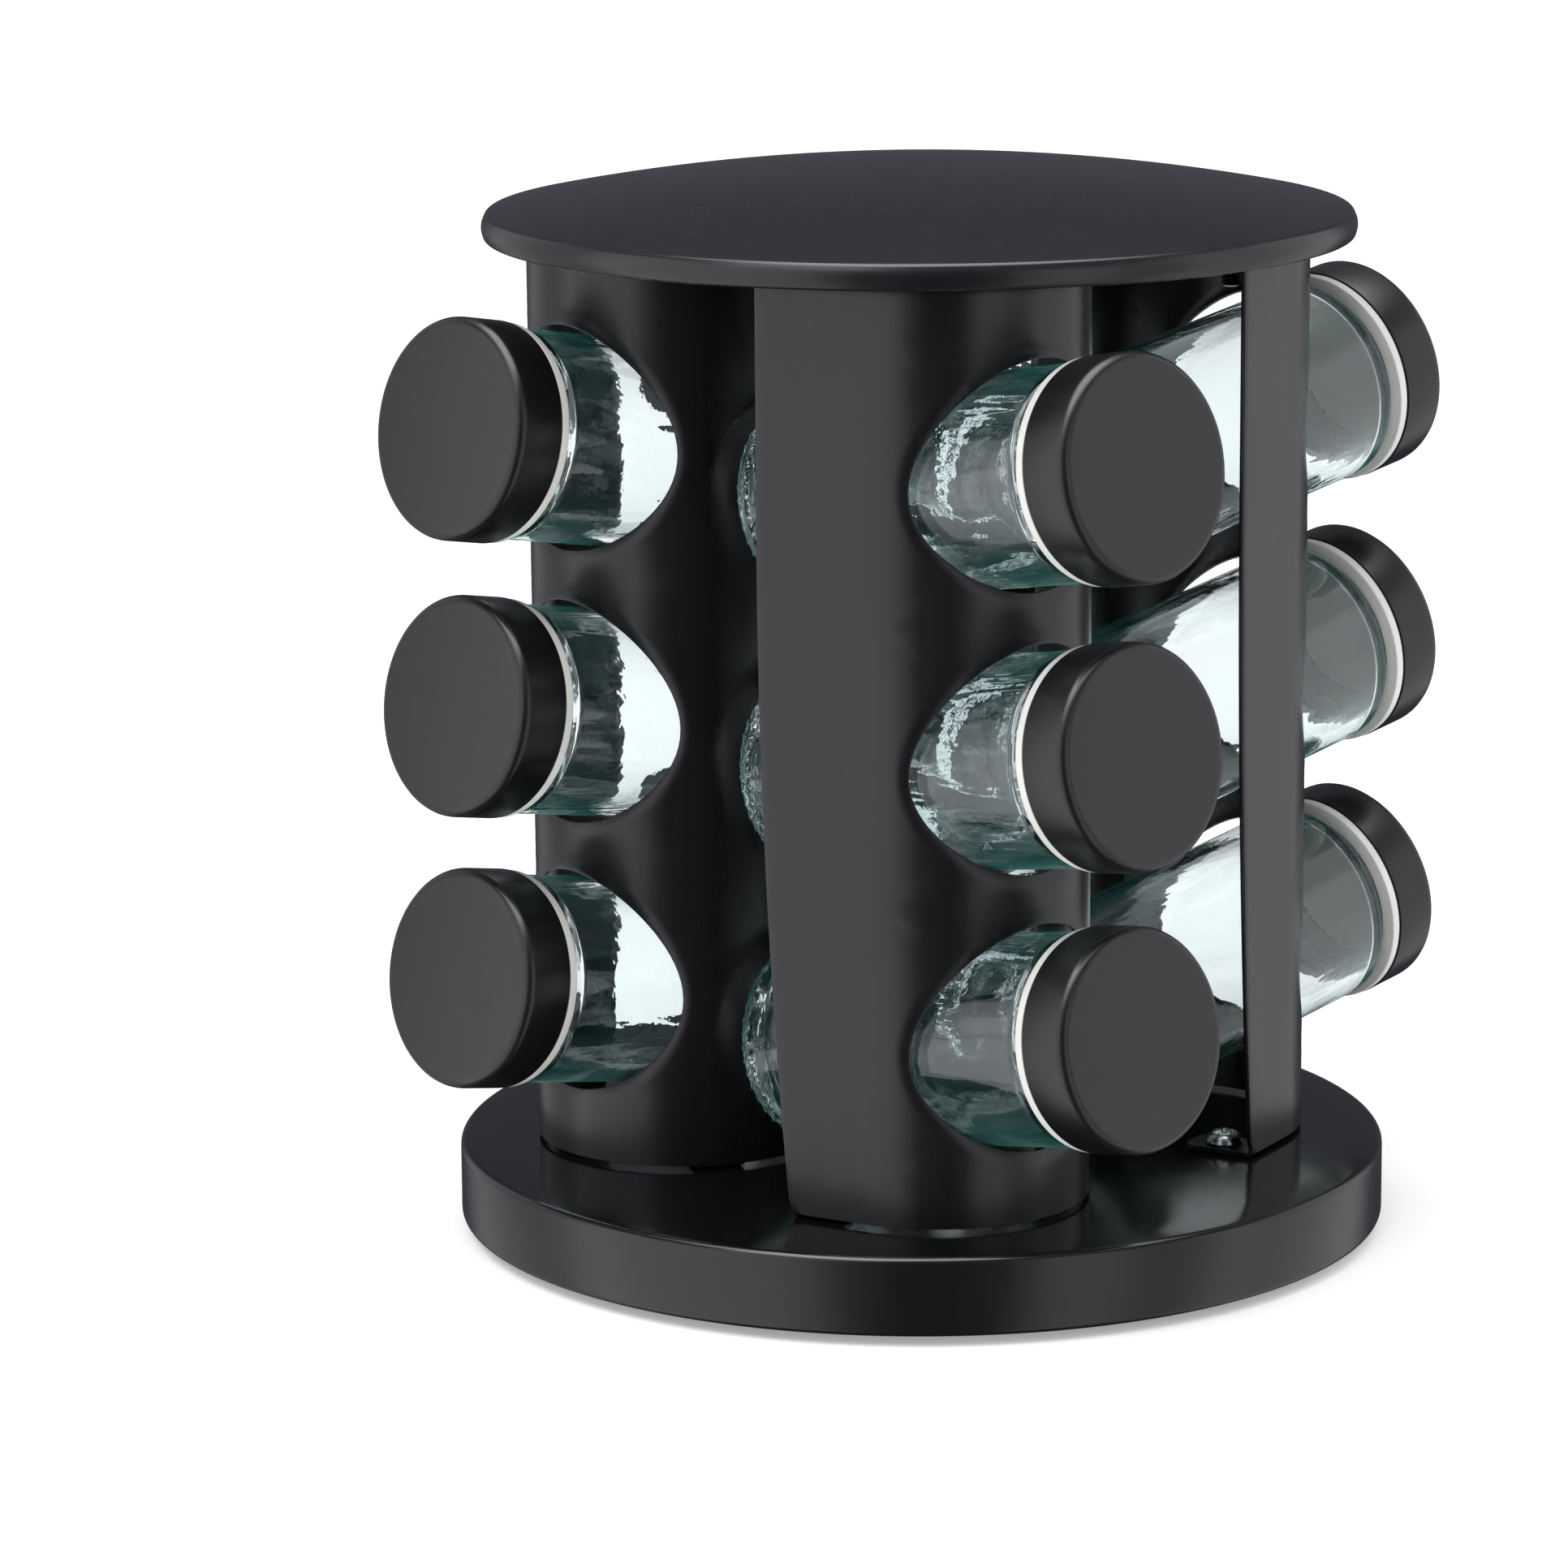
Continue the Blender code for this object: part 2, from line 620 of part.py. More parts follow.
def foot_plate_profile():
    """Flat in the middle, a channel for the balls, then a step down to the flange on the feet."""
    _, ball_middle = race_heights()
    floor = ball_middle - BALL_RADIUS - GAP
    land = floor + CHANNEL_DEPTH
    inner = BALL_CIRCLE - CHANNEL_HALF_WIDTH
    outer = BALL_CIRCLE + CHANNEL_HALF_WIDTH
    slope = CHANNEL_DEPTH / 2
    above = [
        (RIVET_RADIUS + GAP, land),
        (inner - slope, land),
        (inner, floor),
        (outer, floor),
        (outer + slope, FOOT_PLATE_TOP),
        (FOOT_PLATE_RADIUS, FOOT_PLATE_TOP),
    ]
    return above + [(radius, height - RACE_SHEET) for radius, height in above[::-1]]


def rivet_profile():
    """One head under the foot plate, one above the upper race, with a plain shank between."""
    top, ball_middle = race_heights()
    plate_low = ball_middle - BALL_RADIUS - GAP + CHANNEL_DEPTH - RACE_SHEET
    race_high = top - CHANNEL_DEPTH
    return [
        (0, race_high + GAP + RIVET_HEAD_THICKNESS),
        (RIVET_HEAD, race_high + GAP + RIVET_HEAD_THICKNESS),
        (RIVET_HEAD, race_high + GAP),
        (RIVET_RADIUS, race_high + GAP),
        (RIVET_RADIUS, plate_low - GAP),
        (RIVET_HEAD, plate_low - GAP),
        (RIVET_HEAD, plate_low - GAP - RIVET_HEAD_THICKNESS),
        (0, plate_low - GAP - RIVET_HEAD_THICKNESS),
    ]


def build_turntable():
    steel = principled("upper_race_steel", ZINC)
    turned("upper_race", profile_mesh("upper_race", upper_race_profile(), True), steel, RACE_SIDES)
    steel = principled("foot_plate_steel", ZINC)
    turned("foot_plate", profile_mesh("foot_plate", foot_plate_profile(), True), steel, RACE_SIDES)
    steel = principled("rivet_steel", ZINC)
    turned("pivot_rivet", profile_mesh("pivot_rivet", rivet_profile()), steel, RIVET_SIDES)
    _, ball_middle = race_heights()
    low = ball_middle - CAGE_SHEET / 2
    inner = BALL_CIRCLE - CAGE_HALF_WIDTH
    outer = BALL_CIRCLE + CAGE_HALF_WIDTH
    section = [
        (outer, low + CAGE_SHEET),
        (outer, low),
        (inner, low),
        (inner, low + CAGE_SHEET),
    ]
    steel = principled("ball_steel", BALL_STEEL)
    cage = turned("ball_ring", profile_mesh("ball_ring", section, True), steel, RACE_SIDES)
    balls = bmesh.new()
    for ball in range(BALL_COUNT):
        place = Matrix.Rotation(math.tau * ball / BALL_COUNT, 4, "Z")
        place = place @ Matrix.Translation((BALL_CIRCLE, 0, ball_middle))
        bmesh.ops.create_uvsphere(balls, u_segments=6, v_segments=4, radius=BALL_RADIUS, matrix=place)
    boolean(cage, "UNION", add_cutter("balls", balls))


def build_feet():
    top = FOOT_PLATE_TOP - RACE_SHEET - GAP
    profile = [
        (0, top),
        (FOOT_RADIUS, top),
        (FOOT_RADIUS, FOOT_CHAMFER),
        (FOOT_RADIUS - FOOT_CHAMFER, 0),
        (0, 0),
    ]
    mesh = profile_mesh("foot", profile)
    for foot in range(FEET):
        rubber = principled(f"foot_{foot + 1}_rubber", RUBBER)
        place = Matrix.Rotation(math.tau * (foot + 0.5) / FEET, 4, "Z")
        place = place @ Matrix.Translation((FOOT_CIRCLE, 0, 0))
        turned(f"rubber_foot_{foot + 1}", mesh.copy(), rubber, FOOT_SIDES, place)


def clear_scene():
    for thing in list(bpy.data.objects):
        bpy.data.objects.remove(thing, do_unlink=True)


clear_scene()
PIECES = new_collection(OBJECT_NAME)
CUTTERS = new_collection("cutters")
build_turntable()
build_feet()
build_base_pan()
build_base_screws()
build_panels()
build_top_disc()
build_top_nuts()
build_jars()
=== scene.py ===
"""Looks of the spice carousel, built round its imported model: panels, discs, jars, turntable and studio.

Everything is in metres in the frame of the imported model: origin on the axis of rotation at table level,
+Z up, the front is -Y. Columns are a quarter turn apart, anticlockwise from the front one seen from above.
"""

import cmath
import json
import math

import bmesh
import bpy
import numpy as np
from mathutils import Matrix, Vector

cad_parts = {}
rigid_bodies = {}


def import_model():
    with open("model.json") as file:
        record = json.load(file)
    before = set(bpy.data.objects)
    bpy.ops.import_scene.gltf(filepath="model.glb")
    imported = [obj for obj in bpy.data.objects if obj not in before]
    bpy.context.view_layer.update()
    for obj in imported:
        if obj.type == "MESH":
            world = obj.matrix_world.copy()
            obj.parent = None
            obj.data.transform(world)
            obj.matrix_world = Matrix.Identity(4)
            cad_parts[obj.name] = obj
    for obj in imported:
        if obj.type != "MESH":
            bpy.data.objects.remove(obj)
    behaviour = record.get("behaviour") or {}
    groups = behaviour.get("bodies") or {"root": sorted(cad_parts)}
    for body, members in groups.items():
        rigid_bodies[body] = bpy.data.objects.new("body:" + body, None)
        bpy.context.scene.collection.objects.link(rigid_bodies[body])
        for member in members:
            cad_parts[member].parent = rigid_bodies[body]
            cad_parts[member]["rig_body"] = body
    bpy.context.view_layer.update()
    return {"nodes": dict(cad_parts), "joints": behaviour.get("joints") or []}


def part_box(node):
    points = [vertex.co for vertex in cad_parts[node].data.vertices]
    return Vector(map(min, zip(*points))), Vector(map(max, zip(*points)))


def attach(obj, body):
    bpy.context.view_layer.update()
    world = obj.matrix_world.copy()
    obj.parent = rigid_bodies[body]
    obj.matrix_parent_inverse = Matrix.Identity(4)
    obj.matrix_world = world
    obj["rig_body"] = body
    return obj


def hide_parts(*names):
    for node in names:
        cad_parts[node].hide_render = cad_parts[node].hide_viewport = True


COLUMNS = range(1, 5)
LEVELS = "abc"
FILLET_STEPS = 6
SHARP_BEND = math.radians(38)
DISC_STEPS = 160
OWN_PLACE = "own_place"

# Jar glass, from its base upwards
JAR_RADIUS = 0.0209
JAR_WALL = 0.0024
JAR_FLOOR = 0.0060
JAR_HEEL = 0.0042
JAR_SHOULDER = 0.0786
SHOULDER_LENGTH = 0.0026
NECK_RADIUS = 0.0182
NECK_WALL = 0.0025
GLASS_STEPS = 180
STIPPLES = 45
STIPPLE_ROWS = (0.0018, 0.0046)
STIPPLE_WIDTH = 0.0013
STIPPLE_HEIGHT = 0.00038
THREAD_START = 0.0835
THREAD_END = 0.0900
THREAD_PITCH = 0.0032
THREAD_HEIGHT = 0.00022
HEEL_STEPS = 9
NECK_ROWS = 14
WALL_ROWS = 8

# Cap
CAP_STEPS = 96
CAP_RADIUS = 0.0220
CAP_EDGE = 0.0021
SHELL_WALL = 0.0006
SHELL_DEPTH = 0.0109
LINER_FLANGE = 0.0018
LINER_SETBACK = 0.0002
LINER_TOP = 0.0015
GAP = 0.0003

# Panel
SHEET = 0.0010
PANEL_RADIUS = 0.0300
PANEL_ALONG = 0.0374
JAR_AZIMUTH = math.radians(44.0)
ARC_LATERAL = 0.03127
OUTER_ARC_END = math.radians(241.7)
INNER_ARC_END = math.radians(395.0)
FREE_FLANGE = 0.0235
FOOT_CUTBACK = 0.0065
CUTBACK_HEIGHT = 0.1320
CORNER_RADIUS = 0.0030
PANEL_BOTTOM = 0.0189
HOLE_HALF_HEIGHT = 0.0222
HOLE_HALF_WIDTH = 0.0234
HOLE_SHIFT = 0.0011
PATCH_START = 0.0035  # along the arc, from its start
PATCH_END = 0.0695
PATCH_ROWS = 24
PATCH_COLUMNS = 30
RING_DISTANCES = (0.0, 0.00035, 0.0008, 0.0014, 0.0022, 0.0032)  # from the rim of a hole
RING_SHARES = (0.35, 0.68, 1.0)  # of the rest of the way to the border of the patch
PRESS_WIDTH = 0.0030
PRESS_DEPTH = 0.00055
EDGE_BEVEL = 0.00022
EDGE_ANGLE = math.radians(50)
FOOT_ROWS = (0.0, 0.0001, 0.0003, 0.0006, 0.0010, 0.0015, 0.0022, 0.0030)  # above the bottom edge
PLAIN_ROWS = 5  # between the patches and the edges of the panel
FREE_FLANGE_COLUMNS = 15
INNER_FLANGE_COLUMNS = 14
TAB_WIDTH = 0.0100
TAB_REACH = 0.0158
TAB_CORNER = 0.0030
TAB_BEND = 0.0013
TAB_SHEET = 0.0009
TAB_GAP = 0.00005
TAB_BEND_STEPS = 6
TAB_CORNER_STEPS = 7
SCREW_ALONG = 0.0115
INNER_TAB_ANGLE = math.radians(376.0)

# Discs
BASE_RADIUS = 0.0950
BASE_EDGE = 0.0016
PAN_WALL = 0.0010
RIM_CURL = 0.0015
TOP_RADIUS = 0.0880
DOME_WALL = 0.0010
DOME_RINGS = 36
DOME_CREASE_RADIUS = 0.0868
DOME_CREASE_RISE = 0.0051
TOP_PLATE_RADIUS = 0.0830
PANEL_LIFT = 0.0009

# Screws, studs and nuts
STUD_RADIUS = 0.0020
STUD_ROOT = 0.00172
STUD_TIP = 0.0013
STUD_END = 0.0010
STUD_PITCH = 0.0007
STUD_STEPS = 24
HEAD_HEIGHT = 0.0024
HEAD_NECK = 0.0021
CROWN_RADIUS = 0.0022
CROWN_FALL = 0.00035
CROWN_RINGS = 14
SHOULDER_WIDTH = 0.0016
SHOULDER_FALL = 0.00205
SHOULDER_RINGS = 8
RECESS_ARM = 0.0020
RECESS_HALF_WIDTH = 0.00052
RECESS_DEPTH = 0.0011
RECESS_REACH = 0.0016  # below the top of the head
HEAD_STEPS = 72
NUT_HALF_FLATS = 0.0035
NUT_BORE = 0.00225
NUT_FACE = 0.0034
NUT_CHAMFER = 0.0005
NUT_BORE_CHAMFER = 0.0004
NUT_PLAIN_RADIUS = 0.0030  # inside it nothing is pulled in to the flats

# Turntable
RACE_STEPS = 120
RACE_SHEET = 0.0015
RACE_BEND = 0.0002
RACE_BORE = 0.0053
RACE_RADIUS = 0.0500
CHANNEL_DEPTH = 0.0012
CHANNEL_RADII = (0.0364, 0.0370, 0.0430, 0.0436)
FOOT_PLATE_RADIUS = 0.0620
FOOT_PLATE_TOP = 0.0065
RIVET_RADIUS = 0.0050
RIVET_HEAD = 0.0090
RIVET_HEAD_THICKNESS = 0.0009
RIVET_STEPS = 64
BALL_RADIUS = 0.0030
BALL_CIRCLE = 0.0400
BALL_COUNT = 12
CAGE_RADII = (0.0348, 0.0452)
CAGE_HALF_SHEET = 0.0005
FEET = range(1, 5)
FOOT_RADIUS = 0.0075
FOOT_GROOVE = 0.0005
FOOT_STEPS = 64

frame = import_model()
joint_axis = {joint["name"]: Vector(joint["axis"]) for joint in frame["joints"]}


# Meshes


def rounded(points):
    """The (radius, height, fillet) corners of a profile, with each fillet drawn as an arc."""
    drawn = []
    for i, (radius, height, fillet) in enumerate(points):
        if not fillet:
            drawn.append((radius, height))
            continue
        here = complex(radius, height)
        before = complex(*points[i - 1][:2]) - here
        after = complex(*points[(i + 1) % len(points)][:2]) - here
        before /= abs(before)
        after /= abs(after)
        half = abs(cmath.phase(after / before)) / 2
        middle = (before + after) / abs(before + after)
        centre = here + middle * fillet / math.sin(half)
        start = here + before * fillet / math.tan(half) - centre
        end = here + after * fillet / math.tan(half) - centre
        turn = cmath.phase(end / start)
        for step in range(FILLET_STEPS + 1):
            point = centre + start * cmath.exp(1j * turn * step / FILLET_STEPS)
            drawn.append((point.real, point.imag))
    return drawn


def finish_mesh(bm, name):
    bmesh.ops.recalc_face_normals(bm, faces=bm.faces)
    mesh = bpy.data.meshes.new(name)
    bm.to_mesh(mesh)
    bm.free()
    mesh.shade_smooth()
    mesh.set_sharp_from_angle(angle=SHARP_BEND)
    return mesh


def add_lathe(bm, profile, steps, matrix=Matrix(), closed=False, shift=None):
    """Turns a (radius, height) profile round Z. shift(radius, height, angle) moves single points."""
    rings = []
    for radius, height in profile:
        ring = []
        count = steps if radius > 1e-7 else 1
        for step in range(count):
            angle = math.tau * step / steps
            far, high = shift(radius, height, angle) if shift else (radius, height)
            ring.append(bm.verts.new(matrix @ Vector((far * math.cos(angle), far * math.sin(angle), high))))
        rings.append(ring)
    pairs = list(zip(rings, rings[1:]))
    if closed:
        pairs.append((rings[-1], rings[0]))
    for upper, lower in pairs:
        for step in range(steps):
            corners = []
            for vert in (
                upper[step % len(upper)],
                lower[step % len(lower)],
                lower[(step + 1) % len(lower)],
                upper[(step + 1) % len(upper)],
            ):
                if vert not in corners:
                    corners.append(vert)
            if len(corners) > 2:
                bm.faces.new(corners)


def lathe_mesh(name, profile, steps, closed=False, shift=None):
    bm = bmesh.new()
    add_lathe(bm, profile, steps, closed=closed, shift=shift)
    return finish_mesh(bm, name)


def add_piece(name, mesh, material, node, matrix=Matrix()):
    """A visible piece that stands for one CAD node and rides on that node's body.

    Its place is in its mesh, which keeps the coordinates it was drawn in as an attribute for the materials.
    """
    mesh = mesh.copy()
    coordinates = np.empty(len(mesh.vertices) * 3, np.float32)
    mesh.vertices.foreach_get("co", coordinates)
    mesh.attributes.new(OWN_PLACE, "FLOAT_VECTOR", "POINT").data.foreach_set("vector", coordinates)
    mesh.transform(matrix)
    mesh.materials.append(material)
    piece = bpy.data.objects.new(name, mesh)
    bpy.context.scene.collection.objects.link(piece)
    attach(piece, frame["nodes"][node]["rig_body"])
    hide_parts(node)
    return piece


def cad_points(node):
    """The corners of a CAD node, each once."""
    points = np.array([vert.co for vert in frame["nodes"][node].data.vertices], float)
    return np.unique(np.round(points, 6), axis=0)


# Materials


def add_node(tree, kind, **settings):
    made = tree.nodes.new(kind)
    for key, value in settings.items():
        setattr(made, key, value)
    return made


def own_coordinates(tree):
    """The coordinates a piece was drawn in, shifted by an amount of its own so that copies differ."""
    place = add_node(tree, "ShaderNodeAttribute", attribute_name=OWN_PLACE)
    info = add_node(tree, "ShaderNodeObjectInfo")
    shifted = add_node(tree, "ShaderNodeVectorMath", operation="ADD")
    tree.links.new(place.outputs["Vector"], shifted.inputs[0])
    tree.links.new(info.outputs["Random"], shifted.inputs[1])
    return shifted.outputs["Vector"]


def stretched(tree, coordinates, scale):
    mapping = add_node(tree, "ShaderNodeMapping")
    mapping.inputs["Scale"].default_value = scale
    tree.links.new(coordinates, mapping.inputs["Vector"])
    return mapping.outputs["Vector"]


def noise(tree, coordinates, scale, detail=3.0, roughness=0.5, distortion=0.0):
    texture = add_node(tree, "ShaderNodeTexNoise")
    texture.inputs["Scale"].default_value = scale
    texture.inputs["Detail"].default_value = detail
    texture.inputs["Roughness"].default_value = roughness
    texture.inputs["Distortion"].default_value = distortion
    tree.links.new(coordinates, texture.inputs["Vector"])
    return texture.outputs["Fac"]


def spots(tree, coordinates, scale, size):
    """1 in the middle of scattered small spots and 0 outside them."""
    cells = add_node(tree, "ShaderNodeTexVoronoi")
    cells.inputs["Scale"].default_value = scale
    tree.links.new(coordinates, cells.inputs["Vector"])
    return remap(tree, cells.outputs["Distance"], 0.0, size, 1.0, 0.0)


def remap(tree, value, low, high, new_low, new_high, smooth=False):
    made = add_node(tree, "ShaderNodeMapRange")
    made.interpolation_type = "SMOOTHSTEP" if smooth else "LINEAR"
    made.inputs["From Min"].default_value = low
    made.inputs["From Max"].default_value = high
    made.inputs["To Min"].default_value = new_low
    made.inputs["To Max"].default_value = new_high
    tree.links.new(value, made.inputs["Value"])
    return made.outputs["Result"]


def product(tree, first, second):
    made = add_node(tree, "ShaderNodeMath", operation="MULTIPLY")
    tree.links.new(first, made.inputs[0])
    tree.links.new(second, made.inputs[1])
    return made.outputs["Value"]


def summed(tree, first, second):
    if second is None:
        return first
    made = add_node(tree, "ShaderNodeMath", operation="ADD")
    tree.links.new(first, made.inputs[0])
    tree.links.new(second, made.inputs[1])
    return made.outputs["Value"]


def ramp(tree, value, stops):
    made = add_node(tree, "ShaderNodeValToRGB")
    elements = made.color_ramp.elements
    while len(elements) < len(stops):
        elements.new(0.5)
    for element, (place, colour) in zip(elements, stops):
        element.position = place
        element.color = (*colour, 1)
    tree.links.new(value, made.inputs["Fac"])
    return made.outputs["Color"]


def mixed(tree, amount, first, second):
    made = add_node(tree, "ShaderNodeMix", data_type="RGBA")
    tree.links.new(amount, made.inputs["Factor"])
    tree.links.new(first, made.inputs["A"])
    made.inputs["B"].default_value = (*second, 1)
    return made.outputs["Result"]


def bumped(tree, height, distance, under=None):
    """A normal bent by a height. under is a coarser normal to add it to."""
    made = add_node(tree, "ShaderNodeBump")
    made.inputs["Distance"].default_value = distance
    tree.links.new(height, made.inputs["Height"])
    if under is not None:
        tree.links.new(under, made.inputs["Normal"])
    return made.outputs["Normal"]


def start_material(name, metallic=0.0, **fixed):
    """A Principled material whose uniform values sit on the shader's own sockets."""
    material = bpy.data.materials.new(name)
    material.use_nodes = True
    tree = material.node_tree
    shader = tree.nodes["Principled BSDF"]
    shader.inputs["Metallic"].default_value = metallic
    for key, value in fixed.items():
        shader.inputs[key.replace("_", " ")].default_value = value
    return material, tree, shader, own_coordinates(tree)


def paint(name, dark, light, smooth, rough, peel, upright=0.0):
    """Baked paint on steel: faint mottling, orange peel, dust specks and a few rubbed streaks.

    upright is how much rougher the paint is on faces that stand upright.
    """
    material, tree, shader, place = start_material(name)
    mottle = noise(tree, place, 35.0, 4.0, 0.55)
    colour = ramp(tree, mottle, ((0.3, dark), (0.72, light)))
    dust = spots(tree, place, 420.0, 0.045)
    speck = tuple(channel * 1.4 + 0.0004 for channel in light)
    tree.links.new(mixed(tree, dust, colour, speck), shader.inputs["Base Color"])
    rubbed = noise(tree, stretched(tree, place, (1.0, 1.0, 0.12)), 240.0, 5.0, 0.6)
    roughness = remap(tree, rubbed, 0.3, 0.75, smooth, rough)
    if upright:
        geometry = add_node(tree, "ShaderNodeNewGeometry")
        facing = add_node(tree, "ShaderNodeSeparateXYZ")
        tree.links.new(geometry.outputs["Normal"], facing.inputs["Vector"])
        roughness = summed(tree, roughness, remap(tree, facing.outputs["Z"], 0.2, 0.7, upright, 0.0, True))
    tree.links.new(roughness, shader.inputs["Roughness"])
    fine = noise(tree, place, 1500.0, 2.0, 0.5)
    broad = noise(tree, place, 130.0, 2.0, 0.4)
    waves = bumped(tree, broad, peel * 2.0)
    tree.links.new(bumped(tree, fine, peel, under=waves), shader.inputs["Normal"])
    return material


def clear_glass():
    """Pressed soda glass: a faint green tint, flow waves and thin smears."""
    material, tree, shader, place = start_material(
        "clear_glass", Transmission_Weight=1.0, IOR=1.5, Sheen_Weight=0.30, Sheen_Roughness=0.45
    )
    shader.inputs["Sheen Tint"].default_value = (0.10, 0.62, 0.55, 1)
    tint = noise(tree, stretched(tree, place, (1.0, 1.0, 0.35)), 70.0, 3.0, 0.6, 0.6)
    colour = ramp(tree, tint, ((0.25, (0.860, 0.922, 0.925)), (0.75, (0.922, 0.952, 0.962))))
    tree.links.new(colour, shader.inputs["Base Color"])
    smear = noise(tree, stretched(tree, place, (0.6, 0.6, 2.2)), 160.0, 4.0, 0.6)
    tree.links.new(remap(tree, smear, 0.45, 0.8, 0.0, 0.06), shader.inputs["Roughness"])
    flow = noise(tree, stretched(tree, place, (1.0, 1.0, 0.25)), 95.0, 2.0, 0.5, 1.2)
    ripple = noise(tree, place, 420.0, 2.0, 0.5)
    broad = bumped(tree, flow, 0.00018)
    tree.links.new(bumped(tree, ripple, 0.00002, under=broad), shader.inputs["Normal"])
    return material


def white_plastic():
    """Moulded white plastic: slightly cloudy, with a fine grain."""
    material, tree, shader, place = start_material("white_plastic", Subsurface_Weight=0.12)
    shader.inputs["Subsurface Radius"].default_value = (0.0012, 0.0010, 0.0009)
    cloud = noise(tree, place, 90.0, 3.0)
    colour = ramp(tree, cloud, ((0.3, (0.66, 0.66, 0.64)), (0.7, (0.74, 0.74, 0.72))))
    tree.links.new(colour, shader.inputs["Base Color"])
    grain = noise(tree, place, 900.0, 3.0)
    tree.links.new(remap(tree, grain, 0.3, 0.7, 0.30, 0.42), shader.inputs["Roughness"])
    tree.links.new(bumped(tree, grain, 0.00001), shader.inputs["Normal"])
    return material


def plated_steel(name, dark, light, smooth, rough):
    """Zinc plate: cloudy grey with fine drawn lines."""
    material, tree, shader, place = start_material(name, metallic=1.0)
    cloud = noise(tree, place, 140.0, 4.0, 0.6)
    colour = ramp(tree, cloud, ((0.3, dark), (0.7, light)))
    stain = spots(tree, place, 260.0, 0.08)
    tree.links.new(mixed(tree, stain, colour, dark), shader.inputs["Base Color"])
    lines = noise(tree, stretched(tree, place, (1.0, 0.08, 1.0)), 1600.0, 3.0)
    tree.links.new(remap(tree, lines, 0.3, 0.7, smooth, rough), shader.inputs["Roughness"])
    tree.links.new(bumped(tree, lines, 0.00001), shader.inputs["Normal"])
    return material


def black_rubber():
    """Matt rubber with a fine grain."""
    material, tree, shader, place = start_material("black_rubber")
    cloud = noise(tree, place, 200.0, 4.0, 0.6)
    colour = ramp(tree, cloud, ((0.3, (0.018, 0.018, 0.018)), (0.7, (0.034, 0.034, 0.033))))
    tree.links.new(colour, shader.inputs["Base Color"])
    grain = noise(tree, place, 1300.0, 3.0)
    tree.links.new(remap(tree, grain, 0.3, 0.7, 0.68, 0.88), shader.inputs["Roughness"])
    tree.links.new(bumped(tree, grain, 0.00006), shader.inputs["Normal"])
    return material


PANEL_PAINT = paint("panel_paint", (0.0036, 0.0036, 0.0042), (0.0056, 0.0055, 0.0064), 0.26, 0.33, 0.000010)
CAP_PAINT = paint("cap_paint", (0.0038, 0.0038, 0.0043), (0.0058, 0.0057, 0.0064), 0.27, 0.34, 0.000008)
DOME_PAINT = paint("dome_paint", (0.0040, 0.0041, 0.0052), (0.0060, 0.0062, 0.0076), 0.22, 0.29, 0.000008)
BASE_PAINT = paint(
    "base_paint", (0.0034, 0.0036, 0.0044), (0.0052, 0.0054, 0.0064), 0.12, 0.18, 0.000005, upright=0.11
)
GLASS = clear_glass()
PLASTIC = white_plastic()
SCREW_STEEL = plated_steel("screw_steel", (0.42, 0.44, 0.45), (0.62, 0.64, 0.64), 0.18, 0.34)
ZINC = plated_steel("turntable_zinc", (0.46, 0.46, 0.45), (0.66, 0.66, 0.66), 0.28, 0.44)
RUBBER = black_rubber()


# Jars and caps


def jar_matrix(label):
    """Local Z runs up the jar from the middle of its base, local X is level. Both come from the CAD."""
    axis = joint_axis[f"jar_{label}_slide"].normalized()
    points = cad_points(f"jar_glass_{label}")
    along = points @ np.array(axis)
    foot = points[along < along.min() + GAP]
    side = Vector((0, 0, 1)).cross(axis).normalized()
    turn = Matrix((side, axis.cross(side), axis)).transposed().to_4x4()
    return Matrix.Translation(Vector(foot.mean(axis=0))) @ turn


def height_on_jar(node, matrix):
    """Highest point of a CAD node along its jar."""
    return max((matrix.inverted() @ Vector(point)).z for point in cad_points(node))


def stippled(radius, height, angle):
    """Rows of small bumps round the heel, and a thread round the neck."""
    outside = radius > NECK_RADIUS - NECK_WALL / 2
    for row, level in enumerate(STIPPLE_ROWS):
        off = abs(height - level) / STIPPLE_WIDTH
        if off < 1 and outside:
            wave = max(0.0, math.cos(STIPPLES * angle + math.pi * row))
            radius += STIPPLE_HEIGHT * wave * math.cos(off * math.pi / 2) ** 2
    if THREAD_START < height < THREAD_END and outside:
        phase = ((height - THREAD_START) / THREAD_PITCH - angle / math.tau) % 1
        radius += THREAD_HEIGHT * max(0.0, math.cos(math.tau * (phase - 0.5)))
    return radius, height


def split_run(start, end, count):
    """Points of a straight run of a profile, both ends left out."""
    across = end[0] - start[0]
    along = end[1] - start[1]
    return [(start[0] + across * i / count, start[1] + along * i / count, 0) for i in range(1, count)]


def heel_arc():
    """The round of the heel, from the wall down to the base."""
    arc = []
    for step in range(HEEL_STEPS, 0, -1):
        angle = math.pi / 2 * step / HEEL_STEPS
        radius = JAR_RADIUS - JAR_HEEL + JAR_HEEL * math.sin(angle)
        arc.append((radius, JAR_HEEL - JAR_HEEL * math.cos(angle), 0))
    return arc


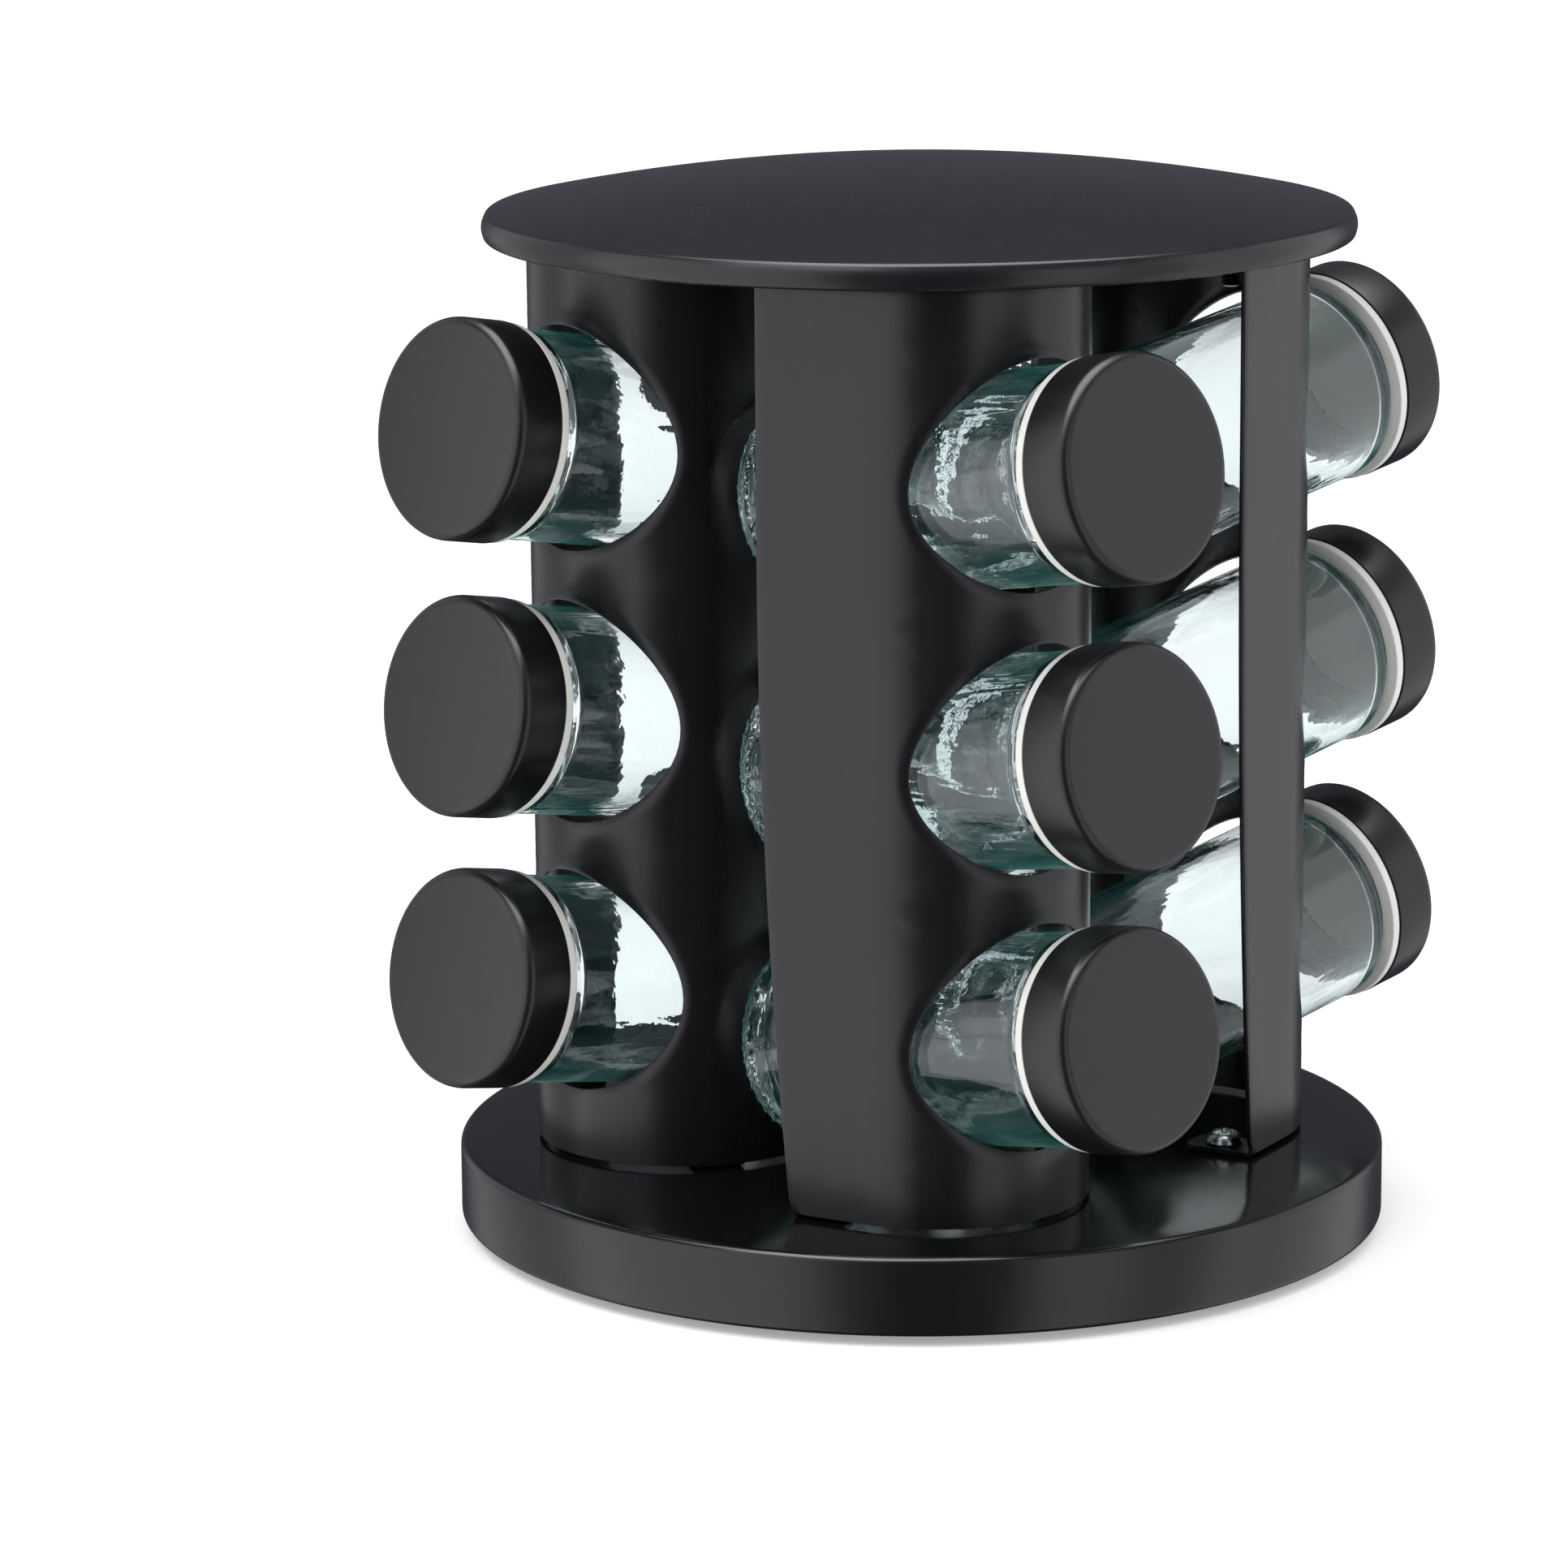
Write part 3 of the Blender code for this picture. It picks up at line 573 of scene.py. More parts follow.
def glass_profile(mouth):
    inside = JAR_RADIUS - JAR_WALL
    bore = NECK_RADIUS - NECK_WALL
    neck = JAR_SHOULDER + SHOULDER_LENGTH
    lip = NECK_WALL * 0.35
    wall_foot = JAR_HEEL + 0.0022
    return rounded(
        [
            (0, JAR_FLOOR + 0.0008, 0),
            (inside * 0.5, JAR_FLOOR + 0.0005, 0),
            (inside, JAR_FLOOR, 0.0035),
            (inside, JAR_SHOULDER - 0.0010, 0.0024),
            (bore, neck + 0.0002, 0.0014),
            (bore, mouth, lip),
            (NECK_RADIUS, mouth, lip),
            *split_run((NECK_RADIUS, mouth - 0.0010), (NECK_RADIUS, neck + 0.0012), NECK_ROWS),
            (NECK_RADIUS, neck - 0.0004, 0.0008),
            (JAR_RADIUS, JAR_SHOULDER + 0.0008, 0.0016),
            *split_run((JAR_RADIUS, JAR_SHOULDER - 0.0030), (JAR_RADIUS, wall_foot), WALL_ROWS),
            *((JAR_RADIUS, wall_foot - 0.0004 * i, 0) for i in range(5)),
            *heel_arc(),
            (JAR_RADIUS - JAR_HEEL, 0.0, 0),
            (JAR_RADIUS - JAR_HEEL * 1.5, 0.0002, 0),
            (0, 0.0008, 0),
        ]
    )


def shell_profile(face):
    inside = CAP_RADIUS - SHELL_WALL
    opening = face - SHELL_DEPTH
    return rounded(
        [
            (0, face, 0),
            (CAP_RADIUS, face, CAP_EDGE),
            (CAP_RADIUS, opening, 0.0002),
            (inside, opening, 0.0002),
            (inside, face - SHELL_WALL, CAP_EDGE - SHELL_WALL),
            (0, face - SHELL_WALL, 0),
        ]
    )


def liner_profile(face):
    bore = NECK_RADIUS + GAP
    flange = CAP_RADIUS - LINER_SETBACK
    inside_shell = CAP_RADIUS - SHELL_WALL - GAP
    top = face - SHELL_WALL - GAP
    flange_top = face - SHELL_DEPTH - GAP
    return rounded(
        [
            (0, top, 0),
            (inside_shell, top, CAP_EDGE),
            (inside_shell, flange_top, 0),
            (flange, flange_top, 0.00015),
            (flange, flange_top - LINER_FLANGE, 0.0003),
            (bore, flange_top - LINER_FLANGE, 0.0004),
            (bore, top - LINER_TOP, 0.0006),
            (0, top - LINER_TOP, 0),
        ]
    )


def build_jars():
    first = jar_matrix("1a")
    mouth = height_on_jar("jar_glass_1a", first)
    face = height_on_jar("cap_shell_1a", first)
    glass = lathe_mesh("jar_glass", glass_profile(mouth), GLASS_STEPS, shift=stippled)
    shell = lathe_mesh("cap_shell", shell_profile(face), CAP_STEPS)
    liner = lathe_mesh("cap_liner", liner_profile(face), CAP_STEPS)
    for column in COLUMNS:
        for level in LEVELS:
            label = f"{column}{level}"
            matrix = jar_matrix(label)
            add_piece(f"glass_{label}", glass, GLASS, f"jar_glass_{label}", matrix)
            add_piece(f"shell_{label}", shell, CAP_PAINT, f"cap_shell_{label}", matrix)
            add_piece(f"liner_{label}", liner, PLASTIC, f"cap_liner_{label}", matrix)


# Panels

OUTWARD = Vector((math.sin(JAR_AZIMUTH), -math.cos(JAR_AZIMUTH), 0))
SIDEWAYS = Vector((math.cos(JAR_AZIMUTH), math.sin(JAR_AZIMUTH), 0))
ARC_CENTRE = OUTWARD * PANEL_ALONG - SIDEWAYS * ARC_LATERAL
ARC_LENGTH = PANEL_RADIUS * (INNER_ARC_END - OUTER_ARC_END)
UP = Vector((0, 0, 1))


def radial(angle):
    return Vector((math.cos(angle), math.sin(angle), 0))


def on_sheet(run, height, depth=0.0):
    """Point of the front panel at a distance along its sheet from the start of the round part."""
    angle = OUTER_ARC_END + min(max(run, 0.0), ARC_LENGTH) / PANEL_RADIUS
    tangent = UP.cross(radial(angle))
    beyond = min(run, 0.0) + max(run - ARC_LENGTH, 0.0)
    point = ARC_CENTRE + radial(angle) * (PANEL_RADIUS - depth) + tangent * beyond
    return Vector((point.x, point.y, height))


def inner_flange_length():
    """The inner flange is as long as the CAD one."""
    end = OUTER_ARC_END + ARC_LENGTH / PANEL_RADIUS
    start = ARC_CENTRE + radial(end) * PANEL_RADIUS
    tangent = UP.cross(radial(end))
    points = cad_points("panel_1") - np.array(start)
    points[:, 2] = 0
    depth = points @ np.array(-radial(end))
    near = points[(depth > -SHEET / 4) & (depth < SHEET * 1.5)]
    return float((near @ np.array(tangent)).max())


def left_edge(height):
    """Free edge of the panel, drawn in towards the foot, with a rounded bottom corner."""
    low = height - PANEL_BOTTOM
    shortfall = max(0.0, 1 - low / CUTBACK_HEIGHT) ** 2
    corner = 0.0
    if low < CORNER_RADIUS:
        corner = CORNER_RADIUS - math.sqrt(max(0.0, CORNER_RADIUS**2 - (CORNER_RADIUS - low) ** 2))
    return -(FREE_FLANGE - FOOT_CUTBACK * shortfall) + corner


def hole_point(matrix, angle):
    """Where the rim of a jar hole meets the sheet, as (run, height)."""
    across = HOLE_SHIFT + HOLE_HALF_WIDTH * math.cos(angle)
    start = matrix @ Vector((across, HOLE_HALF_HEIGHT * math.sin(angle), 0))
    axis = matrix.to_3x3() @ UP
    offset = (start - ARC_CENTRE).xy
    a = axis.xy.dot(axis.xy)
    b = 2 * offset.dot(axis.xy)
    c = offset.dot(offset) - PANEL_RADIUS**2
    hit = start + axis * ((-b + math.sqrt(b * b - 4 * a * c)) / (2 * a))
    turn = math.atan2(hit.y - ARC_CENTRE.y, hit.x - ARC_CENTRE.x) % math.tau
    if turn < math.pi / 2:
        turn += math.tau
    return PANEL_RADIUS * (turn - OUTER_ARC_END), hit.z


def patch_border(low, high):
    """Points round a rectangular patch of the sheet, as (run, height)."""
    runs = np.linspace(PATCH_START, PATCH_END, PATCH_COLUMNS + 1)
    heights = np.linspace(low, high, PATCH_ROWS + 1)
    border = [(run, low) for run in runs[:-1]]
    border += [(PATCH_END, height) for height in heights[:-1]]
    border += [(run, high) for run in runs[:0:-1]]
    border += [(PATCH_START, height) for height in heights[:0:-1]]
    return border


def add_grid(bm, rows):
    """Faces between rows of points."""
    made = [[bm.verts.new(point) for point in row] for row in rows]
    for low, high in zip(made, made[1:]):
        for i in range(len(low) - 1):
            bm.faces.new((low[i], low[i + 1], high[i + 1], high[i]))


def add_patch(bm, matrix, low, high):
    """The sheet round one jar hole, with the rim of the hole pressed in a little."""
    middle_run = (PATCH_START + PATCH_END) / 2
    middle = (low + high) / 2
    rings = []
    for run, height in patch_border(low, high):
        angle = math.atan2(
            (height - middle) / (high - low),
            (run - middle_run) / (PATCH_END - PATCH_START),
        )
        rim_run, rim_height = hole_point(matrix, angle)
        length = math.hypot(run - rim_run, height - rim_height)
        distances = list(RING_DISTANCES)
        for share in RING_SHARES:
            distances.append(RING_DISTANCES[-1] + (length - RING_DISTANCES[-1]) * share)
        line = []
        for distance in distances:
            share = distance / length
            pressed = max(0.0, 1 - distance / PRESS_WIDTH) ** 2 * PRESS_DEPTH
            line.append(
                on_sheet(
                    rim_run + (run - rim_run) * share,
                    rim_height + (height - rim_height) * share,
                    pressed,
                )
            )
        rings.append(line)
    rings.append(rings[0])
    add_grid(bm, rings)


def add_tab(bm, start, inward, level, upwards):
    """A tongue bent in from the sheet's edge. upwards is 1 where the sheet rises from it, -1 at the top."""
    across = UP.cross(inward)
    path = [(0.0, TAB_CORNER)]
    for step in range(TAB_BEND_STEPS + 1):
        angle = math.pi / 2 * step / TAB_BEND_STEPS
        path.append((TAB_BEND * (1 - math.cos(angle)), TAB_BEND * (1 - math.sin(angle))))
    for step in range(TAB_CORNER_STEPS + 1):
        angle = math.pi / 2 * step / TAB_CORNER_STEPS
        path.append((TAB_REACH - TAB_CORNER * (1 - math.sin(angle)), 0.0))
    rings = []
    for i, (out, rise) in enumerate(path):
        before = Vector(path[max(i - 1, 0)])
        after = Vector(path[min(i + 1, len(path) - 1)])
        direction = (after - before).normalized()
        inner = Vector((out, rise)) + Vector((-direction.y, direction.x)) * TAB_SHEET
        left = TAB_REACH - out
        half = TAB_WIDTH / 2
        if left < TAB_CORNER:
            half -= TAB_CORNER - math.sqrt(max(0.0, TAB_CORNER**2 - (TAB_CORNER - left) ** 2))
        ring = []
        for (x, z), side in (((out, rise), -1), ((out, rise), 1), (inner, 1), (inner, -1)):
            where = start + inward * (x + TAB_GAP) + across * side * half
            ring.append(bm.verts.new(Vector((where.x, where.y, level + upwards * z))))
        rings.append(ring)
    for near, far in zip(rings, rings[1:]):
        for i in range(4):
            bm.faces.new((near[i], near[(i + 1) % 4], far[(i + 1) % 4], far[i]))
    bm.faces.new(rings[0])
    bm.faces.new(rings[-1][::-1])


def sheet_mesh():
    """The front panel's sheet without thickness, its faces turned outwards."""
    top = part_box("top_plate")[1].z - SHEET - PANEL_LIFT
    holes = [jar_matrix(f"1{level}") for level in LEVELS]
    middles = [
        sum(hole_point(hole, turn)[1] for turn in (math.pi / 2, -math.pi / 2)) / 2 for hole in holes
    ]
    pitch = middles[1] - middles[0]
    bottom = [PANEL_BOTTOM + rise for rise in FOOT_ROWS]
    bottom += list(np.linspace(bottom[-1], middles[0] - pitch / 2, PLAIN_ROWS))[1:]
    heights = list(bottom)
    for middle in middles:
        heights += list(np.linspace(middle - pitch / 2, middle + pitch / 2, PATCH_ROWS + 1))[1:]
    above = list(np.linspace(heights[-1], top, PLAIN_ROWS))
    heights += above[1:]
    end = ARC_LENGTH + inner_flange_length()
    inner_runs = np.linspace(PATCH_END, end, INNER_FLANGE_COLUMNS)
    patch_runs = np.linspace(PATCH_START, PATCH_END, PATCH_COLUMNS + 1)
    free_flange = []
    for height in heights:
        runs = np.linspace(left_edge(height), PATCH_START, FREE_FLANGE_COLUMNS)
        free_flange.append([on_sheet(run, height) for run in runs])
    bm = bmesh.new()
    add_grid(bm, free_flange)
    add_grid(bm, [[on_sheet(run, height) for run in inner_runs] for height in heights])
    for strip in (bottom, above):
        add_grid(bm, [[on_sheet(run, height) for run in patch_runs] for height in strip])
    for hole, middle in zip(holes, middles):
        add_patch(bm, hole, middle - pitch / 2, middle + pitch / 2)
    bmesh.ops.remove_doubles(bm, verts=bm.verts, dist=2e-6)
    bmesh.ops.recalc_face_normals(bm, faces=bm.faces)
    outward = sum(
        face.normal.dot((face.calc_center_median() - ARC_CENTRE).xy.to_3d()) for face in bm.faces
    )
    if outward < 0:
        bmesh.ops.reverse_faces(bm, faces=bm.faces)
    sheet = bpy.data.meshes.new("sheet")
    bm.to_mesh(sheet)
    bm.free()
    return sheet


def thickened(sheet):
    """A bmesh of the sheet with its thickness and rounded edges."""
    helper = bpy.data.objects.new("sheet", sheet)
    bpy.context.scene.collection.objects.link(helper)
    thicken = helper.modifiers.new("thicken", "SOLIDIFY")
    thicken.thickness = SHEET
    thicken.offset = -1
    bevel = helper.modifiers.new("edges", "BEVEL")
    bevel.width = EDGE_BEVEL
    bevel.segments = 2
    bevel.limit_method = "ANGLE"
    bevel.angle_limit = EDGE_ANGLE
    evaluated = helper.evaluated_get(bpy.context.evaluated_depsgraph_get())
    bm = bmesh.new()
    bm.from_mesh(evaluated.to_mesh())
    evaluated.to_mesh_clear()
    bpy.data.objects.remove(helper)
    return bm


def panel_mesh():
    bm = thickened(sheet_mesh())
    start = ARC_CENTRE + radial(OUTER_ARC_END) * PANEL_RADIUS
    screw = start - UP.cross(radial(OUTER_ARC_END)) * SCREW_ALONG
    inner = ARC_CENTRE + radial(INNER_TAB_ANGLE) * PANEL_RADIUS
    base_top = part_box("base_pan")[1].z
    plate_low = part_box("top_plate")[1].z - SHEET
    for place, angle in ((screw, OUTER_ARC_END), (inner, INNER_TAB_ANGLE)):
        add_tab(bm, place, -radial(angle), base_top + GAP, 1)
        add_tab(bm, place, -radial(angle), plate_low - GAP, -1)
    return finish_mesh(bm, "panel")


def build_panels():
    mesh = panel_mesh()
    for column in COLUMNS:
        turn = Matrix.Rotation(math.pi / 2 * (column - 1), 4, "Z")
        add_piece(f"rolled_panel_{column}", mesh, PANEL_PAINT, f"panel_{column}", turn)


# Discs, screws and nuts


def build_base():
    low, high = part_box("base_pan")
    inner = BASE_RADIUS - PAN_WALL
    curl = inner - RIM_CURL
    profile = rounded(
        [
            (0, high.z, 0),
            (BASE_RADIUS * 0.5, high.z, 0),
            (BASE_RADIUS * 0.9, high.z, 0),
            (BASE_RADIUS, high.z, BASE_EDGE),
            (BASE_RADIUS, low.z, 0.0014),
            (curl, low.z, 0.0003),
            (curl, low.z + PAN_WALL, 0.0003),
            (inner, low.z + PAN_WALL, 0.0005),
            (inner, high.z - PAN_WALL, 0.0006),
            (0, high.z - PAN_WALL, 0),
        ]
    )
    add_piece("pan", lathe_mesh("pan", profile, DISC_STEPS), BASE_PAINT, "base_pan")


def build_dome():
    """A shallow spherical cap with a tight crease where it turns down into the rim."""
    low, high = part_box("top_dome")
    crease = (DOME_CREASE_RADIUS, low.z + DOME_CREASE_RISE)
    rise = high.z - crease[1]
    sphere = (crease[0] ** 2 + rise**2) / (2 * rise)
    outer = []
    inner = []
    for ring in range(DOME_RINGS):
        radius = crease[0] * ring / DOME_RINGS
        height = high.z - sphere + math.sqrt(sphere**2 - radius**2)
        outer.append((radius, height, 0))
        inner.append((radius * (1 - DOME_WALL / crease[0]), height - DOME_WALL, 0))
    belly = low.z + DOME_CREASE_RISE / 2
    lip = TOP_PLATE_RADIUS + GAP
    rim = [
        (*crease, 0.0012),
        (TOP_RADIUS, belly, 0.0040),
        (TOP_RADIUS - 0.0008, low.z, 0.0008),
        (lip, low.z, 0),
        (lip, low.z + DOME_WALL, 0),
        (TOP_RADIUS - DOME_WALL * 1.7, low.z + DOME_WALL, 0),
        (TOP_RADIUS - DOME_WALL, belly, 0),
        (crease[0] - DOME_WALL, crease[1] - DOME_WALL, 0),
    ]
    profile = rounded(outer + rim + inner[::-1])
    add_piece("dome", lathe_mesh("dome", profile, DISC_STEPS), DOME_PAINT, "top_dome")


def middle_of(node):
    low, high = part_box(node)
    return Vector(((low.x + high.x) / 2, (low.y + high.y) / 2, 0))


def stud_profile(low, high):
    """A threaded end as a row of ridges."""
    points = [(0, low), (STUD_END, low)]
    for turn in range(int((high - low) / STUD_PITCH)):
        base = low + STUD_PITCH * turn
        points.append((STUD_ROOT if turn else STUD_TIP, base + STUD_PITCH * 0.1))
        points.append((STUD_RADIUS, base + STUD_PITCH * 0.55))
    points.append((STUD_RADIUS, high))
    return (points + [(0, high)])[::-1]


def build_top_plate():
    low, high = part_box("top_plate")
    under = high.z - SHEET
    bm = bmesh.new()
    profile = rounded(
        [
            (0, high.z, 0),
            (TOP_PLATE_RADIUS, high.z, 0.0002),
            (TOP_PLATE_RADIUS, under, 0.0003),
            (0, under, 0),
        ]
    )
    add_lathe(bm, profile, DISC_STEPS)
    for column in COLUMNS:
        place = Matrix.Translation(middle_of(f"base_screw_{column}"))
        add_lathe(bm, stud_profile(low.z, under + 0.0004), STUD_STEPS, place)
    add_piece("closing_plate", finish_mesh(bm, "closing_plate"), PANEL_PAINT, "top_plate")


def recessed(radius, height, angle):
    """A cross recess in the head of a screw, whose top is at height 0."""
    if height < -RECESS_REACH or radius > CROWN_RADIUS:
        return radius, height
    x = abs(radius * math.cos(angle))
    y = abs(radius * math.sin(angle))
    arm = min(max(x, y) / RECESS_ARM, 1.0)
    inside = max(0.0, 1 - (min(x, y) / RECESS_HALF_WIDTH) ** 4) * (1 - arm**6)
    return radius, height - RECESS_DEPTH * inside


def head_profile():
    """The domed head of a screw, whose top is at height 0."""
    head = [(0, 0)]
    for ring in range(1, CROWN_RINGS + 1):
        head.append((CROWN_RADIUS * ring / CROWN_RINGS, -CROWN_FALL * (ring / CROWN_RINGS) ** 2))
    for ring in range(1, SHOULDER_RINGS + 1):
        angle = math.pi / 2 * ring / SHOULDER_RINGS
        radius = CROWN_RADIUS + SHOULDER_WIDTH * math.sin(angle)
        head.append((radius, -CROWN_FALL - SHOULDER_FALL * (1 - math.cos(angle))))
    return head + [(HEAD_NECK, -HEAD_HEIGHT), (0, -HEAD_HEIGHT)]


def build_screws():
    for column in COLUMNS:
        node = f"base_screw_{column}"
        low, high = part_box(node)
        seat = high.z - HEAD_HEIGHT
        place = middle_of(node)
        bm = bmesh.new()
        add_lathe(bm, head_profile(), HEAD_STEPS, Matrix.Translation(place + UP * high.z), shift=recessed)
        add_lathe(bm, stud_profile(low.z, seat + 0.0002), STUD_STEPS, Matrix.Translation(place))
        add_piece(f"screw_{column}", finish_mesh(bm, "screw"), SCREW_STEEL, node)


def hexed(radius, height, angle):
    """Pulls the outer points of a nut in to its six flats."""
    if radius < NUT_PLAIN_RADIUS:
        return radius, height
    turned_by = angle % (math.pi / 3) - math.pi / 6
    return min(radius, NUT_HALF_FLATS / math.cos(turned_by)), height


def build_nuts():
    """Hexagon nuts with chamfered corners and a bore."""
    corner = NUT_HALF_FLATS / math.cos(math.pi / 6)
    for column in COLUMNS:
        node = f"top_nut_{column}"
        low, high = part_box(node)
        profile = [
            (NUT_BORE + NUT_BORE_CHAMFER, high.z),
            (NUT_FACE, high.z),
            (corner, high.z - NUT_CHAMFER),
            (corner, low.z + NUT_CHAMFER),
            (NUT_FACE, low.z),
            (NUT_BORE + NUT_BORE_CHAMFER, low.z),
            (NUT_BORE, low.z + NUT_BORE_CHAMFER),
            (NUT_BORE, high.z - NUT_BORE_CHAMFER),
        ]
        bm = bmesh.new()
        add_lathe(bm, profile, HEAD_STEPS, Matrix.Translation(middle_of(node)), closed=True, shift=hexed)
        add_piece(f"nut_{column}", finish_mesh(bm, "nut"), SCREW_STEEL, node)


# Turntable under the base


def pressed_ring(name, land, channel, outer, rim):
    """A ring pressed from sheet, with a channel for the balls. The heights are those of its upper side."""
    inner_foot, inner_edge, outer_edge, outer_foot = CHANNEL_RADII
    upper = [
        (RACE_BORE, land, 0),
        (inner_foot, land, RACE_BEND),
        (inner_edge, channel, RACE_BEND),
        (outer_edge, channel, RACE_BEND),
        (outer_foot, rim, RACE_BEND),
        (outer, rim, 0),
    ]
    lower = [(radius, height - RACE_SHEET, bend) for radius, height, bend in upper[::-1]]
    return lathe_mesh(name, rounded(upper + lower), RACE_STEPS, closed=True)


def build_races():
    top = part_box("upper_race")[1].z
    land = top - CHANNEL_DEPTH
    race = pressed_ring("upper_race", land, top, RACE_RADIUS, land)
    add_piece("race_ring", race, ZINC, "upper_race")
    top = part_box("foot_plate")[1].z
    plate = pressed_ring("foot_plate", top, top - CHANNEL_DEPTH, FOOT_PLATE_RADIUS, FOOT_PLATE_TOP)
    add_piece("foot_ring", plate, ZINC, "foot_plate")


def build_rivet():
    low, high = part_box("pivot_rivet")
    profile = rounded(
        [
            (0, high.z, 0),
            (RIVET_HEAD, high.z, 0.0006),
            (RIVET_HEAD, high.z - RIVET_HEAD_THICKNESS, 0),
            (RIVET_RADIUS, high.z - RIVET_HEAD_THICKNESS, 0),
            (RIVET_RADIUS, low.z + RIVET_HEAD_THICKNESS, 0),
            (RIVET_HEAD, low.z + RIVET_HEAD_THICKNESS, 0),
            (RIVET_HEAD, low.z, 0.0006),
            (0.0035, low.z, 0.0003),
            (0.0030, low.z + 0.0006, 0.0003),
            (0, low.z + 0.0006, 0),
        ]
    )
    add_piece("rivet", lathe_mesh("rivet", profile, RIVET_STEPS), ZINC, "pivot_rivet")


def build_balls():
    low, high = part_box("ball_ring")
    middle = (low.z + high.z) / 2
    inner, outer = CAGE_RADII
    cage = rounded(
        [
            (outer, middle + CAGE_HALF_SHEET, 0.0003),
            (outer, middle - CAGE_HALF_SHEET, 0.0003),
            (inner, middle - CAGE_HALF_SHEET, 0.0003),
            (inner, middle + CAGE_HALF_SHEET, 0.0003),
        ]
    )
    bm = bmesh.new()
    add_lathe(bm, cage, RACE_STEPS, closed=True)
    for ball in range(BALL_COUNT):
        turn = Matrix.Rotation(math.tau * ball / BALL_COUNT, 4, "Z")
        place = turn @ Matrix.Translation((BALL_CIRCLE, 0, middle))
        bmesh.ops.create_uvsphere(bm, u_segments=28, v_segments=16, radius=BALL_RADIUS, matrix=place)
    add_piece("balls", finish_mesh(bm, "balls"), SCREW_STEEL, "ball_ring")


def build_feet():
    """Rubber pads with a shallow ring groove in the sole."""
    for foot in FEET:
        node = f"rubber_foot_{foot}"
        low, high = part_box(node)
        profile = rounded(
            [
                (0, high.z, 0),
                (FOOT_RADIUS, high.z, 0.0004),
                (FOOT_RADIUS, low.z, 0.0010),
                (0.0052, low.z, 0.0002),
                (0.0050, low.z + FOOT_GROOVE, 0.0002),
                (0.0046, low.z + FOOT_GROOVE, 0.0002),
                (0.0044, low.z, 0.0002),
                (0, low.z, 0),
            ]
        )
        place = Matrix.Translation(middle_of(node))
        add_piece(f"pad_{foot}", lathe_mesh("pad", profile, FOOT_STEPS), RUBBER, node, place)


# Studio

FLOOR_RADIUS = 5.5
FLOOR_GLOW = 0.30
HALL_RADIUS = 6.0
HALL_GLOW = 1.02


def floor_material():
    material = bpy.data.materials.new("floor")
    material.use_nodes = True
    tree = material.node_tree
    shader = tree.nodes["Principled BSDF"]
    shader.inputs["Roughness"].default_value = 0.9
    shader.inputs["Specular IOR Level"].default_value = 0.0
    place = add_node(tree, "ShaderNodeTexCoord").outputs["Object"]
    cloud = noise(tree, place, 6.0, 3.0)
    colour = ramp(tree, cloud, ((0.3, (0.90, 0.90, 0.90)), (0.7, (0.93, 0.93, 0.93))))
    tree.links.new(colour, shader.inputs["Base Color"])
    shader.inputs["Emission Color"].default_value = (1.0, 1.0, 1.0, 1)
    shader.inputs["Emission Strength"].default_value = FLOOR_GLOW
    return material


def hall_material():
    material = bpy.data.materials.new("hall")
    material.use_nodes = True
    tree = material.node_tree
    tree.nodes.clear()
    emission = add_node(tree, "ShaderNodeEmission")
    emission.inputs["Color"].default_value = (1.0, 1.0, 1.0, 1)
    emission.inputs["Strength"].default_value = HALL_GLOW
    output = add_node(tree, "ShaderNodeOutputMaterial")
    tree.links.new(emission.outputs["Emission"], output.inputs["Surface"])
    return material


def backdrop_object(name, bm, material):
    """Part of the backdrop, which no reflection shows: those come from the world's softboxes."""
    mesh = bpy.data.meshes.new(name)
    bm.to_mesh(mesh)
    bm.free()
    mesh.materials.append(material)
    made = bpy.data.objects.new(name, mesh)
    bpy.context.scene.collection.objects.link(made)
    made.visible_glossy = False
    return made


def add_backdrop():
    """A pale floor and a pale hall round it."""
    bm = bmesh.new()
    bmesh.ops.create_circle(bm, cap_ends=True, segments=96, radius=FLOOR_RADIUS)
    floor = backdrop_object("floor", bm, floor_material())
    bm = bmesh.new()
    bmesh.ops.create_uvsphere(bm, u_segments=64, v_segments=32, radius=HALL_RADIUS)
    bmesh.ops.reverse_faces(bm, faces=bm.faces)
    hall = backdrop_object("hall", bm, hall_material())


# Azimuth, half widths where it is full and where it ends, lowest and highest sine of elevation, radiance.
# Angles are in degrees, anticlockwise from +X.
SOFTBOXES = (
    (211.0, 21.0, 45.0, -0.75, 0.50, 1.40),
    (308.0, 6.0, 18.0, -0.75, 0.40, 0.55),
    (328.0, 20.0, 36.0, -0.75, 0.45, 0.55),
    (18.0, 22.0, 40.0, -0.70, 0.50, 0.86),
    (90.0, 30.0, 60.0, -0.10, 0.30, 0.06),
    (155.0, 22.0, 42.0, -0.70, 0.50, 0.55),
)
OVERHEAD = (0.80, 0.95, 5.5)  # sines of elevation where it starts and is full, radiance
UPPER_GLOW = (0.30, 0.80, 0.22)
STUDIO_DARK = (0.044, 0.047, 0.060)
STUDIO_WHITE = (1.0, 0.99, 1.03)
SOFT_EDGE = 0.18


